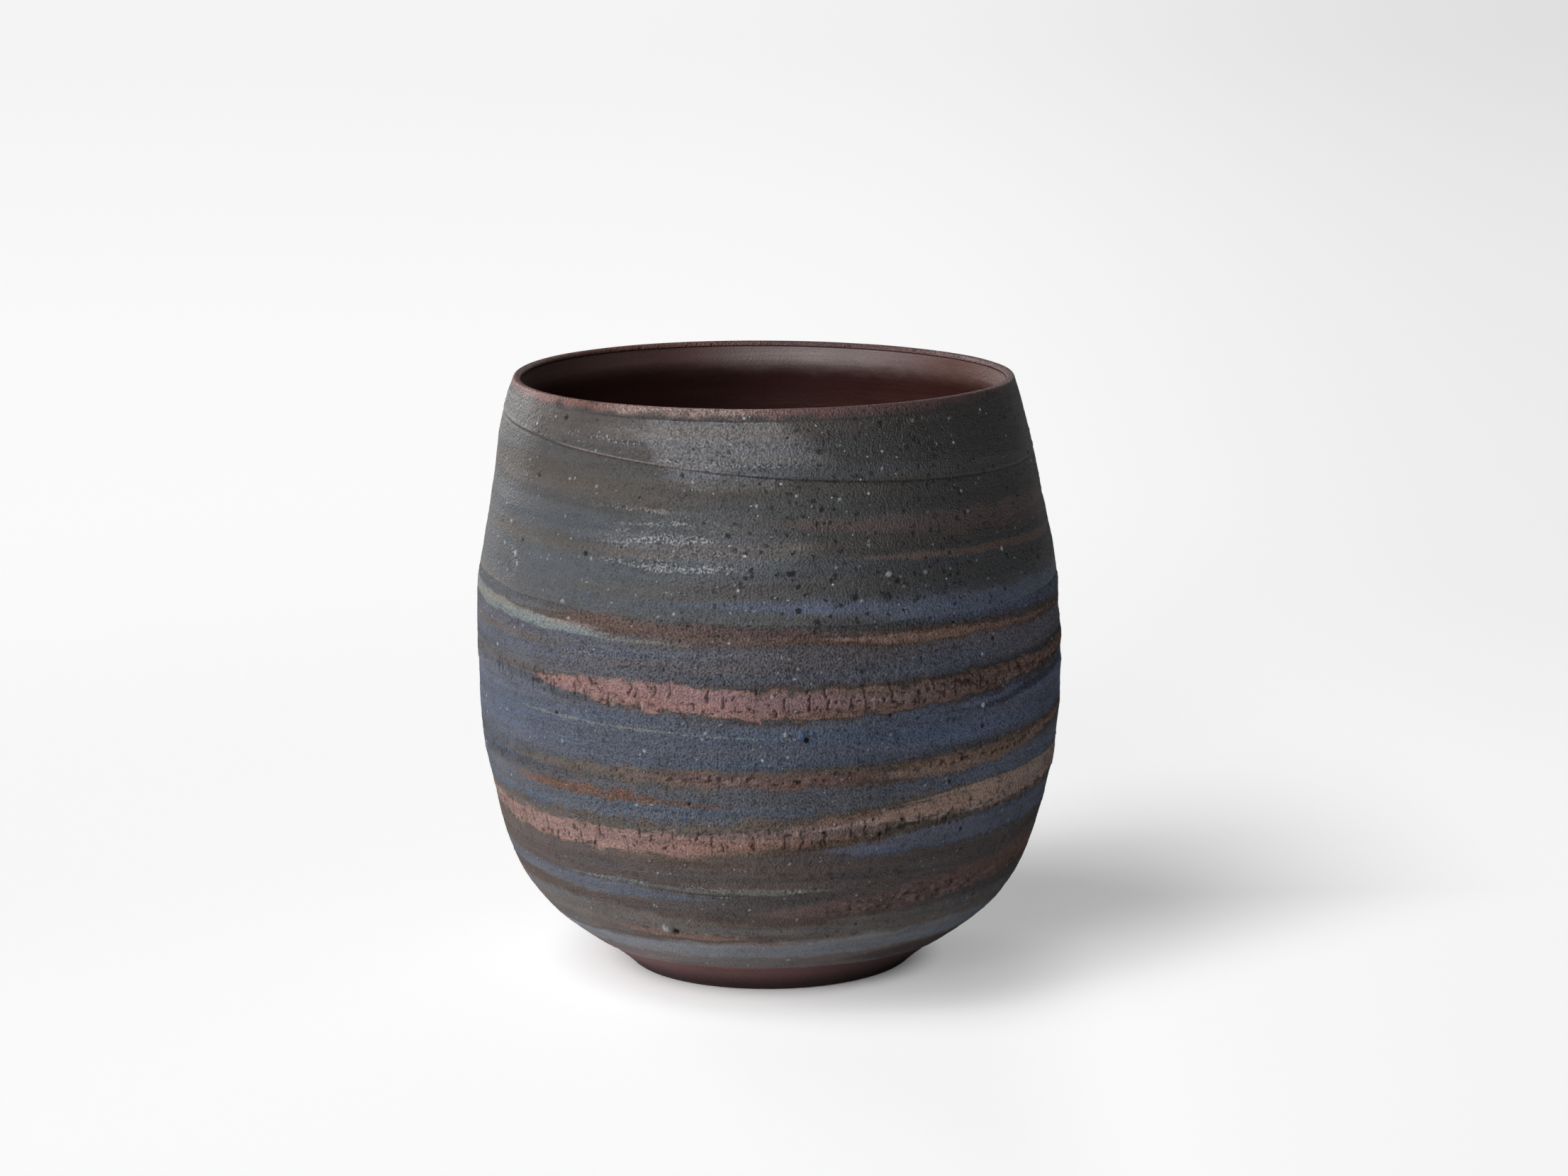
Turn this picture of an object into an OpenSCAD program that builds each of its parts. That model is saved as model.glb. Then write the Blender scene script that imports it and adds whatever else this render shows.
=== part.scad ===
// Guinomi sake cup: a wheel-thrown cup of red clay with a skin of coloured clay bands.
// Sizes are in millimetres. The cup stands on z = 0 with its axis along +Z and its front towards -Y.

/* [Cup] */
// Height from the table to the crest of the lip
cup_h = 69.2; // [60:0.1:80]
// Widest diameter, at the belly
belly_d = 68; // [62:0.5:76]
// Height of the widest point
belly_z = 40.5; // [34:0.5:46]
// Fullness of the curve between the foot and the belly
belly_fullness = 0.87; // [0.6:0.01:0.95]
// Fullness of the curve just above the belly
shoulder_fullness = 0.19; // [0.1:0.01:0.4]

/* [Lip] */
// Outside diameter of the mouth
mouth_d = 57.9; // [54:0.1:62]
// Thickness of the rounded lip
lip_t = 1.5; // [1.2:0.1:2.4]
// Lean of the wall towards the axis under the lip, in degrees
lip_lean = 19; // [5:0.5:24]
// Length of nearly straight wall under the lip, as a share of the wall above the belly
lip_straightness = 0.22; // [0.15:0.01:0.6]
// Width of the bare clay edge left at the lip
bare_lip_h = 1.35; // [1.2:0.05:2.2]

/* [Foot] */
// Outside diameter of the ring that touches the table
foot_d = 32.8; // [28:0.2:38]
// Width of that ring
foot_ring_w = 3.6; // [2:0.1:6]
// Depth of the turned recess inside the ring
recess_h = 1.4; // [0.6:0.1:2.4]
// Inward slope of the recess wall
recess_slope = 0.8; // [0.2:0.1:1.5]
// Angle at which the wall flares from the foot, in degrees from level
flare_angle = 48; // [36:1:60]
// Length over which the flare stays nearly straight
flare_len = 11; // [8:0.5:16]
// Height of the bare clay left above the table
bare_foot_h = 3.7; // [3:0.1:5]

/* [Wall] */
// Thickness of the wall at the belly, with the skin
wall_t = 3.8; // [3:0.1:6]
// Thickness of the floor over the recess
floor_t = 5; // [3:0.1:8]
// Radius of the flat middle of the drinking hollow
hollow_flat_r = 23; // [16:0.5:26]
// Height over which the hollow turns up from its floor into the wall
hollow_turn_h = 8; // [4:0.5:14]
// Thickness of the coloured skin
skin_t = 0.9; // [0.6:0.05:1.2]
// Depth of the throwing rings in the skin
ring_depth = 0.2; // [0.05:0.05:0.4]
// Spacing of the throwing rings
ring_pitch = 7; // [4:0.1:10]

/* [Clay bands] */
// Height of the grey-blue band above the bare foot
foot_blue_h = 5.6; // [4.5:0.1:8]
// Height of the brown band under the lower rose band
lower_umber_h = 11.8; // [8:0.1:15]
// Height of the lower rose band
lower_rose_h = 3.4; // [2.5:0.1:5]
// Height of the blue band over the lower rose band
lower_blue_h = 4; // [2.5:0.1:6]
// Height of the narrow brown band
umber_h = 2.8; // [2:0.1:4]
// Height of the blue band at the middle
middle_blue_h = 5.6; // [3.5:0.1:8]
// Height of the upper rose band
upper_rose_h = 3.7; // [2.5:0.1:5]
// Height of the blue band over the upper rose band
upper_blue_h = 4.1; // [2.5:0.1:6]
// Height of the rust band
rust_h = 2.5; // [2:0.1:4]
// Height of the slate band
slate_h = 8.3; // [5:0.1:11]
// Height of the brown band at the shoulder
shoulder_umber_h = 7.5; // [5:0.1:10]
// Height of the grey band under the lip
rim_grey_h = 4.85; // [4:0.05:7]

/* [Seams] */
// Fall of the highest seam towards +X, in degrees
rim_seam_fall = 4.5; // [0:0.1:5]
// Rise of the lowest seams towards +X, in degrees
foot_seam_rise = 2.9; // [0:0.1:4]
// Height of the seam that runs level from side to side
level_seam_z = 40.5; // [36:0.5:48]
// Height under which all seams rise alike
even_seam_z = 24; // [20:0.5:32]
// Rise of every seam towards the back, in degrees
seam_lean = 2; // [0:0.1:3]

/* [Hidden] */
$fn = 96;

// Counts of points along the curves
curve_steps = 40;
skin_rows = 48;
foot_rows = 3;
lip_rows = 2;
lip_arc_steps = 10;
hollow_steps = 16;

belly_r = belly_d / 2;
foot_r = foot_d / 2;
ring_in_r = foot_r - foot_ring_w;
floor_z = recess_h + floor_t;
hollow_r = belly_r - wall_t;

// The lip is a half round whose ends are square to the leaning wall
lip_r = lip_t / 2;
lip_mid = [mouth_d / 2 - lip_r, cup_h - lip_r];
lip_out = lip_mid + lip_r * [cos(lip_lean), sin(lip_lean)];
lip_in = lip_mid - lip_r * [cos(lip_lean), sin(lip_lean)];
down_wall = [sin(lip_lean), -cos(lip_lean)];

skin_foot_z = bare_foot_h;
skin_top_z = cup_h - bare_lip_h;
skin_span = skin_top_z - skin_foot_z;

function bezier(a, b, c, d, t) =
    pow(1 - t, 3) * a + 3 * pow(1 - t, 2) * t * b + 3 * (1 - t) * t * t * c + pow(t, 3) * d;
function curve(a, b, c, d, steps) = [for (i = [0 : steps]) bezier(a, b, c, d, i / steps)];

// Outside of the cup: one curve from the foot to the belly and one from the belly to the lip
foot_edge = [foot_r, 0];
belly = [belly_r, belly_z];
upper_h = lip_out[1] - belly_z;
lower_curve = curve(foot_edge, foot_edge + flare_len * [cos(flare_angle), sin(flare_angle)],
                    belly - [0, belly_fullness * belly_z], belly, curve_steps);
upper_curve = curve(belly, belly + [0, shoulder_fullness * upper_h],
                    lip_out + lip_straightness * upper_h * down_wall, lip_out, curve_steps);
outline = [for (p = concat(lower_curve, [for (i = [1 : curve_steps]) upper_curve[i]])) [p[1], p[0]]];
function outer_r(z) = lookup(z, outline);

// Drinking hollow: a rounded floor that turns up into a wall thinning towards the lip
hollow_belly = [hollow_r, belly_z];
hollow_upper_h = lip_in[1] - belly_z;
hollow_floor = curve([0, floor_z], [hollow_flat_r, floor_z], [hollow_r, floor_z + hollow_turn_h],
                     hollow_belly, hollow_steps);
hollow_wall = curve(hollow_belly, hollow_belly + [0, shoulder_fullness * hollow_upper_h],
                    lip_in + lip_straightness * hollow_upper_h * down_wall, lip_in, hollow_steps);
hollow_side = [for (p = concat(hollow_floor, [for (i = [1 : hollow_steps]) hollow_wall[i]])) [p[1], p[0]]];
function hollow_side_r(z) = lookup(z, hollow_side);

// The skin is as thick as skin_t, or half the wall where the wall is thin
function skin_depth(z) = min(skin_t, (outer_r(z) - hollow_side_r(z)) / 2);
slope_step = 0.05;
function wall_slope(z) = atan2(outer_r(z + slope_step) - outer_r(z - slope_step), 2 * slope_step);

// Throwing rings fade out at both ends of the skin
function ring_dip(z) =
    ring_depth * pow(sin(180 * (z - skin_foot_z) / skin_span), 2)
    * (1 - cos(360 * (z - skin_foot_z) / ring_pitch)) / 2;

row_z = [for (i = [0 : skin_rows]) skin_foot_z + skin_span * i / skin_rows];
skin_face = [for (z = row_z) [outer_r(z) - ring_dip(z), z]];
skin_seat = [for (z = row_z) [outer_r(z), z] + skin_depth(z) * [-cos(wall_slope(z)), sin(wall_slope(z))]];

// Band heights from the foot up, stretched together to fill the skin
band_h = [foot_blue_h, lower_umber_h, lower_rose_h, lower_blue_h, umber_h, middle_blue_h,
          upper_rose_h, upper_blue_h, rust_h, slate_h, shoulder_umber_h, rim_grey_h];
function total(list, count) = count == 0 ? 0 : list[count - 1] + total(list, count - 1);
stretch = skin_span / total(band_h, len(band_h));
function seam_z(i) = skin_foot_z + stretch * total(band_h, i);
rim_seam_z = seam_z(len(band_h) - 1);
seam_tilts = [[even_seam_z, -foot_seam_rise], [level_seam_z, 0], [rim_seam_z, rim_seam_fall]];
function seam_tilt(i) = lookup(seam_z(i), seam_tilts);

// Everything under seam i, as far as the cup reaches
reach = 3 * max(cup_h, belly_d);
module under_seam(i) {
    translate([0, 0, seam_z(i)])
        rotate([seam_lean, seam_tilt(i), 0])
            translate([-reach / 2, -reach / 2, -reach])
                cube(reach);
}

module skin() {
    rotate_extrude()
        polygon(concat(skin_face, [for (i = [0 : skin_rows]) skin_seat[skin_rows - i]]));
}

// Band i of the skin, counted from the foot
module clay_band(i) {
    difference() {
        intersection() {
            skin();
            if (i < len(band_h) - 1) {
                under_seam(i + 1);
            } else {
                translate([-reach / 2, -reach / 2, 0])
                    cube(reach);
            }
        }
        if (i > 0) {
            under_seam(i);
        }
    }
}

// Red clay that shows inside, at the lip and on the foot, with a rebate for the skin
module clay_body() {
    underside = [[0, recess_h], [ring_in_r - recess_slope, recess_h], [ring_in_r, 0]];
    bare_foot = [for (i = [0 : foot_rows]) [outer_r(bare_foot_h * i / foot_rows), bare_foot_h * i / foot_rows]];
    bare_lip = [for (i = [0 : lip_rows]) let (z = skin_top_z + (lip_out[1] - skin_top_z) * i / lip_rows)
        [outer_r(z), z]];
    lip = [for (i = [1 : lip_arc_steps - 1]) let (turn = lip_lean + 180 * i / lip_arc_steps)
        lip_mid + lip_r * [cos(turn), sin(turn)]];
    hollow_down = [for (i = [0 : hollow_steps]) hollow_wall[hollow_steps - i]];
    floor_in = [for (i = [1 : hollow_steps]) hollow_floor[hollow_steps - i]];
    color("#6f4438")
        rotate_extrude()
            polygon(concat(underside, bare_foot, skin_seat, bare_lip, lip, hollow_down, floor_in));
}

module foot_blue_band() {
    color("#656a74") clay_band(0);
}

module lower_umber_band() {
    color("#5f524c") clay_band(1);
}

module lower_rose_band() {
    color("#9a6f62") clay_band(2);
}

module lower_blue_band() {
    color("#575c66") clay_band(3);
}

module umber_band() {
    color("#6b5647") clay_band(4);
}

module middle_blue_band() {
    color("#565862") clay_band(5);
}

module upper_rose_band() {
    color("#8d6257") clay_band(6);
}

module upper_blue_band() {
    color("#53565d") clay_band(7);
}

module rust_band() {
    color("#67503f") clay_band(8);
}

module slate_band() {
    color("#4e5053") clay_band(9);
}

module shoulder_umber_band() {
    color("#544b47") clay_band(10);
}

module rim_grey_band() {
    color("#4d4b4b") clay_band(11);
}

clay_body();
foot_blue_band();
lower_umber_band();
lower_rose_band();
lower_blue_band();
umber_band();
middle_blue_band();
upper_rose_band();
upper_blue_band();
rust_band();
slate_band();
shoulder_umber_band();
rim_grey_band();
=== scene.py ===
import math

import bpy
import numpy as np
from mathutils import Matrix, Vector


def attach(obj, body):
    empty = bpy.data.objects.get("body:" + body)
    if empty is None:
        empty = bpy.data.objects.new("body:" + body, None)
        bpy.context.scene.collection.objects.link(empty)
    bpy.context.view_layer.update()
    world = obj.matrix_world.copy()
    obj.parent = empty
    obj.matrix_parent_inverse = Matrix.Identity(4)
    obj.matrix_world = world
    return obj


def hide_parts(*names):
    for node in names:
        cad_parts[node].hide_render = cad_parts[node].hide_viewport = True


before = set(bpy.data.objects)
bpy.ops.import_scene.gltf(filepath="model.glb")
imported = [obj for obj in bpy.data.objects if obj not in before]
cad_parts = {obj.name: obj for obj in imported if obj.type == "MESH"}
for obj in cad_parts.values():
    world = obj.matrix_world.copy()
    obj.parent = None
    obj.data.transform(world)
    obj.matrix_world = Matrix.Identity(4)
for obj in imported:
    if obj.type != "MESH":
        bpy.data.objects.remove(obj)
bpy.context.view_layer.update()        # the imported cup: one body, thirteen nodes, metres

print("frame loaded:", len(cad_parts), "nodes")

# the turned form, in millimetres, as the solids have it
cupForm = {
    "height": 69.2,
    "bellyRadius": 34.0,
    "bellyHeight": 40.5,
    "bellyFullness": 0.87,
    "shoulderFullness": 0.19,
    "mouthRadius": 28.95,
    "lipThickness": 1.5,
    "lipLean": 19.0,          # degrees the wall leans in under the lip
    "lipStraightness": 0.22,
    "footRadius": 16.4,
    "footRing": 3.6,
    "recessHeight": 1.4,
    "recessSlope": 0.8,
    "flareAngle": 48.0,
    "flareLength": 11.0,
    "bareFoot": 3.7,          # clay left bare above the ground
    "bareLip": 1.35,          # clay left bare under the lip
    "wall": 3.8,
    "floor": 5.0,
    "hollowFlat": 23.0,
    "hollowTurn": 8.0,
    "skin": 0.9,              # thickness of the coloured clays
    "ringDepth": 0.2,
    "ringPitch": 7.0,
    "seamLean": 2.0,          # every seam falls this much towards the front, degrees
    "rimSeamFall": 4.5,       # the rim seam falls this much to the right
    "evenSeamHeight": 40.5,
    "footSeamRise": 2.9,      # the low seams rise this much to the right
    "footSeamHeight": 24.0,
    "rimWave": 0.45,          # the rim dips at the back right and stands at the back left
    "rimWaveFrom": 52.0,
}

millimetre = 0.001
columns = 1280                # around each coloured band
bodyColumns = 520             # around the red clay
mapGap = 0.003                # margin of each strip in the baking maps


# noise made from hashed lattice points, the same every run

def hashed(ix, iy, iz, seed):
    mixed = ix.astype(np.uint32) * np.uint32(374761393)
    mixed = mixed + iy.astype(np.uint32) * np.uint32(668265263)
    mixed = mixed + iz.astype(np.uint32) * np.uint32(2246822519)
    mixed = mixed + np.uint32((seed * 3266489917) % 4294967296)
    mixed = (mixed ^ (mixed >> np.uint32(15))) * np.uint32(2654435761)
    mixed = (mixed ^ (mixed >> np.uint32(13))) * np.uint32(1274126177)
    mixed = mixed ^ (mixed >> np.uint32(16))
    return mixed.astype(np.float64) / 4294967296.0


def cloud(points, size, seed):
    # smooth noise from -1 to 1, size is a length or one length per axis
    scaled = points / np.asarray(size, dtype=float)
    corner = np.floor(scaled).astype(np.int64)
    part = scaled - corner
    part = part * part * part * (part * (part * 6.0 - 15.0) + 10.0)
    total = np.zeros(points.shape[:-1])
    for dx in (0, 1):
        wx = part[..., 0] if dx else 1.0 - part[..., 0]
        for dy in (0, 1):
            wy = part[..., 1] if dy else 1.0 - part[..., 1]
            for dz in (0, 1):
                wz = part[..., 2] if dz else 1.0 - part[..., 2]
                value = hashed(corner[..., 0] + dx, corner[..., 1] + dy, corner[..., 2] + dz, seed)
                total += wx * wy * wz * value
    return total * 2.0 - 1.0


def layeredCloud(points, size, seed, layers=3):
    total = 0.0
    weight = 1.0
    for layer in range(layers):
        total = total + weight * cloud(points, np.asarray(size, dtype=float) / 2.0 ** layer, seed + layer)
        weight *= 0.5
    return total / (2.0 - 2.0 * weight)


def smoothStep(low, high, value):
    part = np.clip((value - low) / (high - low), 0.0, 1.0)
    return part * part * (3.0 - 2.0 * part)


# the turned profile

def bezier(a, b, c, d, count):
    t = np.linspace(0.0, 1.0, count)[:, None]
    a, b, c, d = (np.asarray(p, dtype=float) for p in (a, b, c, d))
    return (1 - t) ** 3 * a + 3 * (1 - t) ** 2 * t * b + 3 * (1 - t) * t ** 2 * c + t ** 3 * d


lean = math.radians(cupForm["lipLean"])
flare = math.radians(cupForm["flareAngle"])
lipRadius = cupForm["lipThickness"] / 2
lipMiddle = np.array([cupForm["mouthRadius"] - lipRadius, cupForm["height"] - lipRadius])
acrossLip = np.array([math.cos(lean), math.sin(lean)])
downWall = np.array([math.sin(lean), -math.cos(lean)])
lipOut = lipMiddle + lipRadius * acrossLip
lipIn = lipMiddle - lipRadius * acrossLip
belly = np.array([cupForm["bellyRadius"], cupForm["bellyHeight"]])
upperHeight = lipOut[1] - belly[1]
skinFoot = cupForm["bareFoot"]
skinTop = cupForm["height"] - cupForm["bareLip"]
seatDepth = min(cupForm["skin"], lipRadius)

footEdge = np.array([cupForm["footRadius"], 0.0])
lowerOutline = bezier(
    footEdge,
    footEdge + cupForm["flareLength"] * np.array([math.cos(flare), math.sin(flare)]),
    belly - [0.0, cupForm["bellyFullness"] * belly[1]],
    belly, 300)
upperOutline = bezier(
    belly,
    belly + [0.0, cupForm["shoulderFullness"] * upperHeight],
    lipOut + cupForm["lipStraightness"] * upperHeight * downWall,
    lipOut, 300)
outline = np.vstack([lowerOutline, upperOutline[1:]])

hollowFloor = cupForm["recessHeight"] + cupForm["floor"]
hollowRadius = cupForm["bellyRadius"] - cupForm["wall"]
innerHeight = lipIn[1] - belly[1]
hollowLow = bezier(
    (0.0, hollowFloor),
    (cupForm["hollowFlat"], hollowFloor),
    (hollowRadius, hollowFloor + cupForm["hollowTurn"]),
    (hollowRadius, belly[1]), 60)
hollowHigh = bezier(
    (hollowRadius, belly[1]),
    (hollowRadius, belly[1] + cupForm["shoulderFullness"] * innerHeight),
    lipIn + cupForm["lipStraightness"] * innerHeight * downWall,
    lipIn, 40)


def ringDip(z):
    along = np.clip((z - skinFoot) / (skinTop - skinFoot), 0.0, 1.0)
    turns = (1.0 - np.cos(2.0 * np.pi * (z - skinFoot) / cupForm["ringPitch"])) / 2.0
    return cupForm["ringDepth"] * np.sin(np.pi * along) ** 2 * turns


def outerRadius(z):
    return np.interp(z, outline[:, 1], outline[:, 0]) - ringDip(z)


def outerSlope(z):
    step = 0.6
    return (outerRadius(z + step) - outerRadius(z - step)) / (2.0 * step)


# the thrown cup is not quite round: how far each side stands out, by height
sides = {
    "right": [(0, 0.1), (4, 0.33), (9, 0.5), (15, 0.1), (18, 0.05), (24, 0.25), (28, 0.37), (32, 0.3),
              (35.5, 0.42), (38, 0.02), (42, 0.05), (49, 0.25), (55, -0.12), (62, 0.0), (69, 0.0)],
    "left": [(0, 0.1), (4, 0.3), (9, 0.22), (15, 0.05), (21, -0.3), (26, 0.05), (39, -0.2), (46, 0.12),
             (54, -0.15), (58, 0.0), (63, 0.4), (69, 0.4)],
}


def outOfRound(angle, z):
    right = np.interp(z, *zip(*sides["right"])) * smoothStep(0.3, 0.95, np.sin(angle))
    left = np.interp(z, *zip(*sides["left"])) * smoothStep(-0.3, -0.95, np.sin(angle))
    return right + left


def rimLift(angle, z):
    wave = -cupForm["rimWave"] * np.sin(angle) * (1.0 - np.cos(angle)) / 2.0
    return wave * smoothStep(cupForm["rimWaveFrom"], cupForm["height"], z)


# angle 0 faces the front, growing to the right

def onCup(angle, radius, z):
    return np.stack([radius * np.sin(angle), -radius * np.cos(angle), z], axis=-1)


def seamTilt(height):
    low, even, high = cupForm["footSeamHeight"], cupForm["evenSeamHeight"], bandSeams[-2]
    return np.interp(height, [low, even, high], [-cupForm["footSeamRise"], 0.0, cupForm["rimSeamFall"]])


def seamHeight(number, angle):
    # where the slanted cut between two clays meets the outside
    base = bandSeams[number]
    if number in (0, len(bandSeams) - 1):
        return np.full_like(angle, base)
    tilt = math.radians(seamTilt(base))
    fall = math.tan(math.radians(cupForm["seamLean"])) / math.cos(tilt)
    z = np.full_like(angle, base)
    for attempt in range(5):
        radius = outerRadius(z)
        z = base - radius * (np.sin(angle) * math.tan(tilt) + np.cos(angle) * fall)
    wander = layeredCloud(onCup(angle, 30.0, np.full_like(angle, base)), 9.0, 900 + number)
    return z + seamWander[number] * wander


# what most of the coloured clays share, lengths in millimetres
plainClay = {
    "gloss": 0.12,
    "rough": 0.68,
    "wander": 0.3,            # how far the seam under it strays
    "soft": 0.9,              # how far it runs into the clay above
    "ragged": 0.35,           # how torn that edge is
    "rightFrom": 0.53,        # turn at which the painted light and shade of its right side set in
    "tears": [],              # how many, shortest, longest, depth
    "drags": [],              # from and to in degrees, height at both ends, half width
    "crumbs": [],             # the same
    "beads": [],              # kind, degrees from the front, height, size
}

# the coloured clays from the foot up, the colour of each right side painted light on the blue clays and
# painted shade on the upper grey ones
footBlueBand = {
    **plainClay, "node": "foot_blue_band", "slot": "blue_clay", "height": 5.6, "rows": 44,
    "clay": "#9b9fa8", "rough": 0.6, "wander": 0.0, "soft": 0.5,
    "sand": 0.4, "pitting": 0.15, "grit": 0.2, "swell": 0.0, "pits": 25, "grains": 60, "blueGrains": 10,
}
lowerUmberBand = {
    **plainClay, "node": "lower_umber_band", "slot": "umber_clay", "height": 11.8, "rows": 72,
    "clay": "#6d6360", "rough": 0.65, "wander": 0.25, "soft": 0.6, "ragged": 0.5,
    "sand": 0.65, "pitting": 0.35, "grit": 0.5, "swell": 0.05, "pits": 70, "grains": 160, "blueGrains": 15,
    "drags": [(-45, 14, 15.8, 15.2, 0.25)],
    "crumbs": [(-40, -4, 9.7, 9.2, 0.25), (12, 60, 12.6, 14.6, 1.3)],
    "beads": [("grain", -25, 9.9, 0.5), ("pit", -23, 9.4, 0.4)],
}
lowerRoseBand = {
    **plainClay, "node": "lower_rose_band", "slot": "rose_clay", "height": 3.4, "rows": 32,
    "clay": "#6f625c",
    "sand": 0.9, "pitting": 0.35, "grit": 1.0, "swell": 0.12, "pits": 25, "grains": 30, "blueGrains": 0,
    "tears": [(110, 0.8, 2.2, 0.13), (220, 0.3, 0.7, 0.08)],
    "crumbs": [(-70, -25, 20.4, 19.4, 0.4), (-30, 10, 22.2, 22.6, 0.5), (16, 85, 22.3, 24.0, 0.6)],
}
lowerBlueBand = {
    **plainClay, "node": "lower_blue_band", "slot": "blue_clay", "height": 4.0, "rows": 34,
    "clay": "#6a707b", "clayRightShading": "#7d879c",
    "sand": 1.5, "pitting": 0.25, "grit": 0.4, "swell": -0.06, "pits": 20, "grains": 60, "blueGrains": 50,
}
umberBand = {
    **plainClay, "node": "umber_band", "slot": "umber_clay", "height": 2.8, "rows": 28,
    "clay": "#62646b",
    "sand": 1.0, "pitting": 0.25, "grit": 1.0, "swell": 0.1, "pits": 12, "grains": 30, "blueGrains": 5,
    "tears": [(130, 0.3, 0.9, 0.06)],
    "crumbs": [(-22, 14, 28.6, 28.5, 0.5), (22, 70, 28.6, 30.2, 0.6)],
}
middleBlueBand = {
    **plainClay, "node": "middle_blue_band", "slot": "blue_clay", "height": 5.6, "rows": 46,
    "clay": "#676e7d", "clayRightShading": "#7d88a4",
    "sand": 1.5, "pitting": 0.25, "grit": 0.3, "swell": -0.08, "pits": 30, "grains": 90, "blueGrains": 70,
    "drags": [(-22, 10, 33.8, 33.2, 0.22)],
    "beads": [("blueGrain", 6, 33.7, 0.4), ("pit", 7, 33.2, 0.35), ("grain", 3, 33.9, 0.25),
              ("blueGrain", 8, 33.9, 0.25)],
}
upperRoseBand = {
    **plainClay, "node": "upper_rose_band", "slot": "rose_clay", "height": 3.7, "rows": 34,
    "clay": "#64656b",
    "sand": 0.9, "pitting": 0.25, "grit": 1.0, "swell": 0.22, "pits": 20, "grains": 25, "blueGrains": 0,
    "tears": [(115, 0.9, 2.4, 0.15), (240, 0.3, 0.8, 0.09)],
    "crumbs": [(-52, -33, 38.5, 38.2, 1.2), (-38, -12, 37.1, 36.1, 0.5), (-14, 30, 36.0, 35.9, 0.55),
               (12, 80, 37.2, 38.6, 1.3)],
}
upperBlueBand = {
    **plainClay, "node": "upper_blue_band", "slot": "blue_clay", "height": 4.1, "rows": 36,
    "clay": "#6d6d75", "clayRightShading": "#828493",
    "sand": 1.7, "pitting": 0.35, "grit": 0.5, "swell": -0.08, "pits": 30, "grains": 70, "blueGrains": 60,
    "drags": [(-46, -22, 42.1, 41.2, 0.15)],
}
rustBand = {
    **plainClay, "node": "rust_band", "slot": "rust_clay", "height": 2.5, "rows": 26,
    "clay": "#635f5d",
    "sand": 1.5, "pitting": 0.35, "grit": 0.8, "swell": 0.06, "pits": 25, "grains": 40, "blueGrains": 10,
}
slateBand = {
    **plainClay, "node": "slate_band", "slot": "grey_clay", "height": 8.3, "rows": 64,
    "clay": "#5d5e60", "clayRightShading": "#4f5052", "gloss": 0.7, "rough": 0.46, "ragged": 0.6, "rightFrom": 0.48,
    "sand": 1.2, "pitting": 1.0, "grit": 0.3, "swell": 0.0, "pits": 330, "grains": 150, "blueGrains": 60,
    "drags": [(-40, -4, 54.5, 53.4, 0.4), (-36, -8, 52.7, 51.5, 0.25), (-26, 2, 53.0, 51.9, 0.5),
              (-62, -58, 51.6, 50.4, 0.5)],
    "beads": [("grain", -43, 47.2, 0.3), ("grain", -60, 51.3, 0.3), ("grain", -59, 50.2, 0.25),
              ("grain", 24, 51.0, 0.38), ("grain", 32, 50.8, 0.24), ("blueGrain", 37, 47.0, 0.3),
              ("blueGrain", 39, 46.9, 0.26), ("pit", 17, 48.7, 0.34), ("pit", 26, 50.2, 0.34),
              ("grain", 18, 48.3, 0.22), ("pit", 5, 51.6, 0.3), ("blueGrain", 4, 46.8, 0.22)],
}
shoulderUmberBand = {
    **plainClay, "node": "shoulder_umber_band", "slot": "umber_clay", "height": 7.5, "rows": 58,
    "clay": "#545250", "clayRightShading": "#464442", "gloss": 0.9, "rough": 0.42, "ragged": 0.6, "rightFrom": 0.48,
    "sand": 1.2, "pitting": 1.0, "grit": 0.2, "swell": 0.0, "pits": 290, "grains": 140, "blueGrains": 20,
    "drags": [(-44, -20, 58.6, 58.0, 0.25), (-34, -8, 55.9, 55.4, 0.3)],
}
rimGreyBand = {
    **plainClay, "node": "rim_grey_band", "slot": "grey_clay", "height": 4.85, "rows": 42,
    "clay": "#545150", "clayRightShading": "#424040", "rightFrom": 0.48,
    "gloss": 1.0, "rough": 0.34, "wander": 0.0, "soft": 0.4, "ragged": 0.25,
    "sand": 1.1, "pitting": 1.0, "grit": 0.2, "swell": 0.0, "pits": 230, "grains": 110, "blueGrains": 30,
    "drags": [(-50, -6, 65.6, 65.0, 0.3), (-30, 10, 63.6, 63.3, 0.4), (-24, -4, 66.8, 66.4, 0.4)],
    "beads": [("grain", 22, 60.4, 0.3), ("grain", 38, 60.3, 0.28)],
}
bands = [
    footBlueBand, lowerUmberBand, lowerRoseBand, lowerBlueBand, umberBand, middleBlueBand,
    upperRoseBand, upperBlueBand, rustBand, slateBand, shoulderUmberBand, rimGreyBand,
]
bandSeams = [skinFoot]
for band in bands:
    bandSeams.append(bandSeams[-1] + band["height"])
seamWander = [band["wander"] for band in bands] + [0.0]


# relief common to all the clays, so that neighbours meet along their seams

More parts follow.
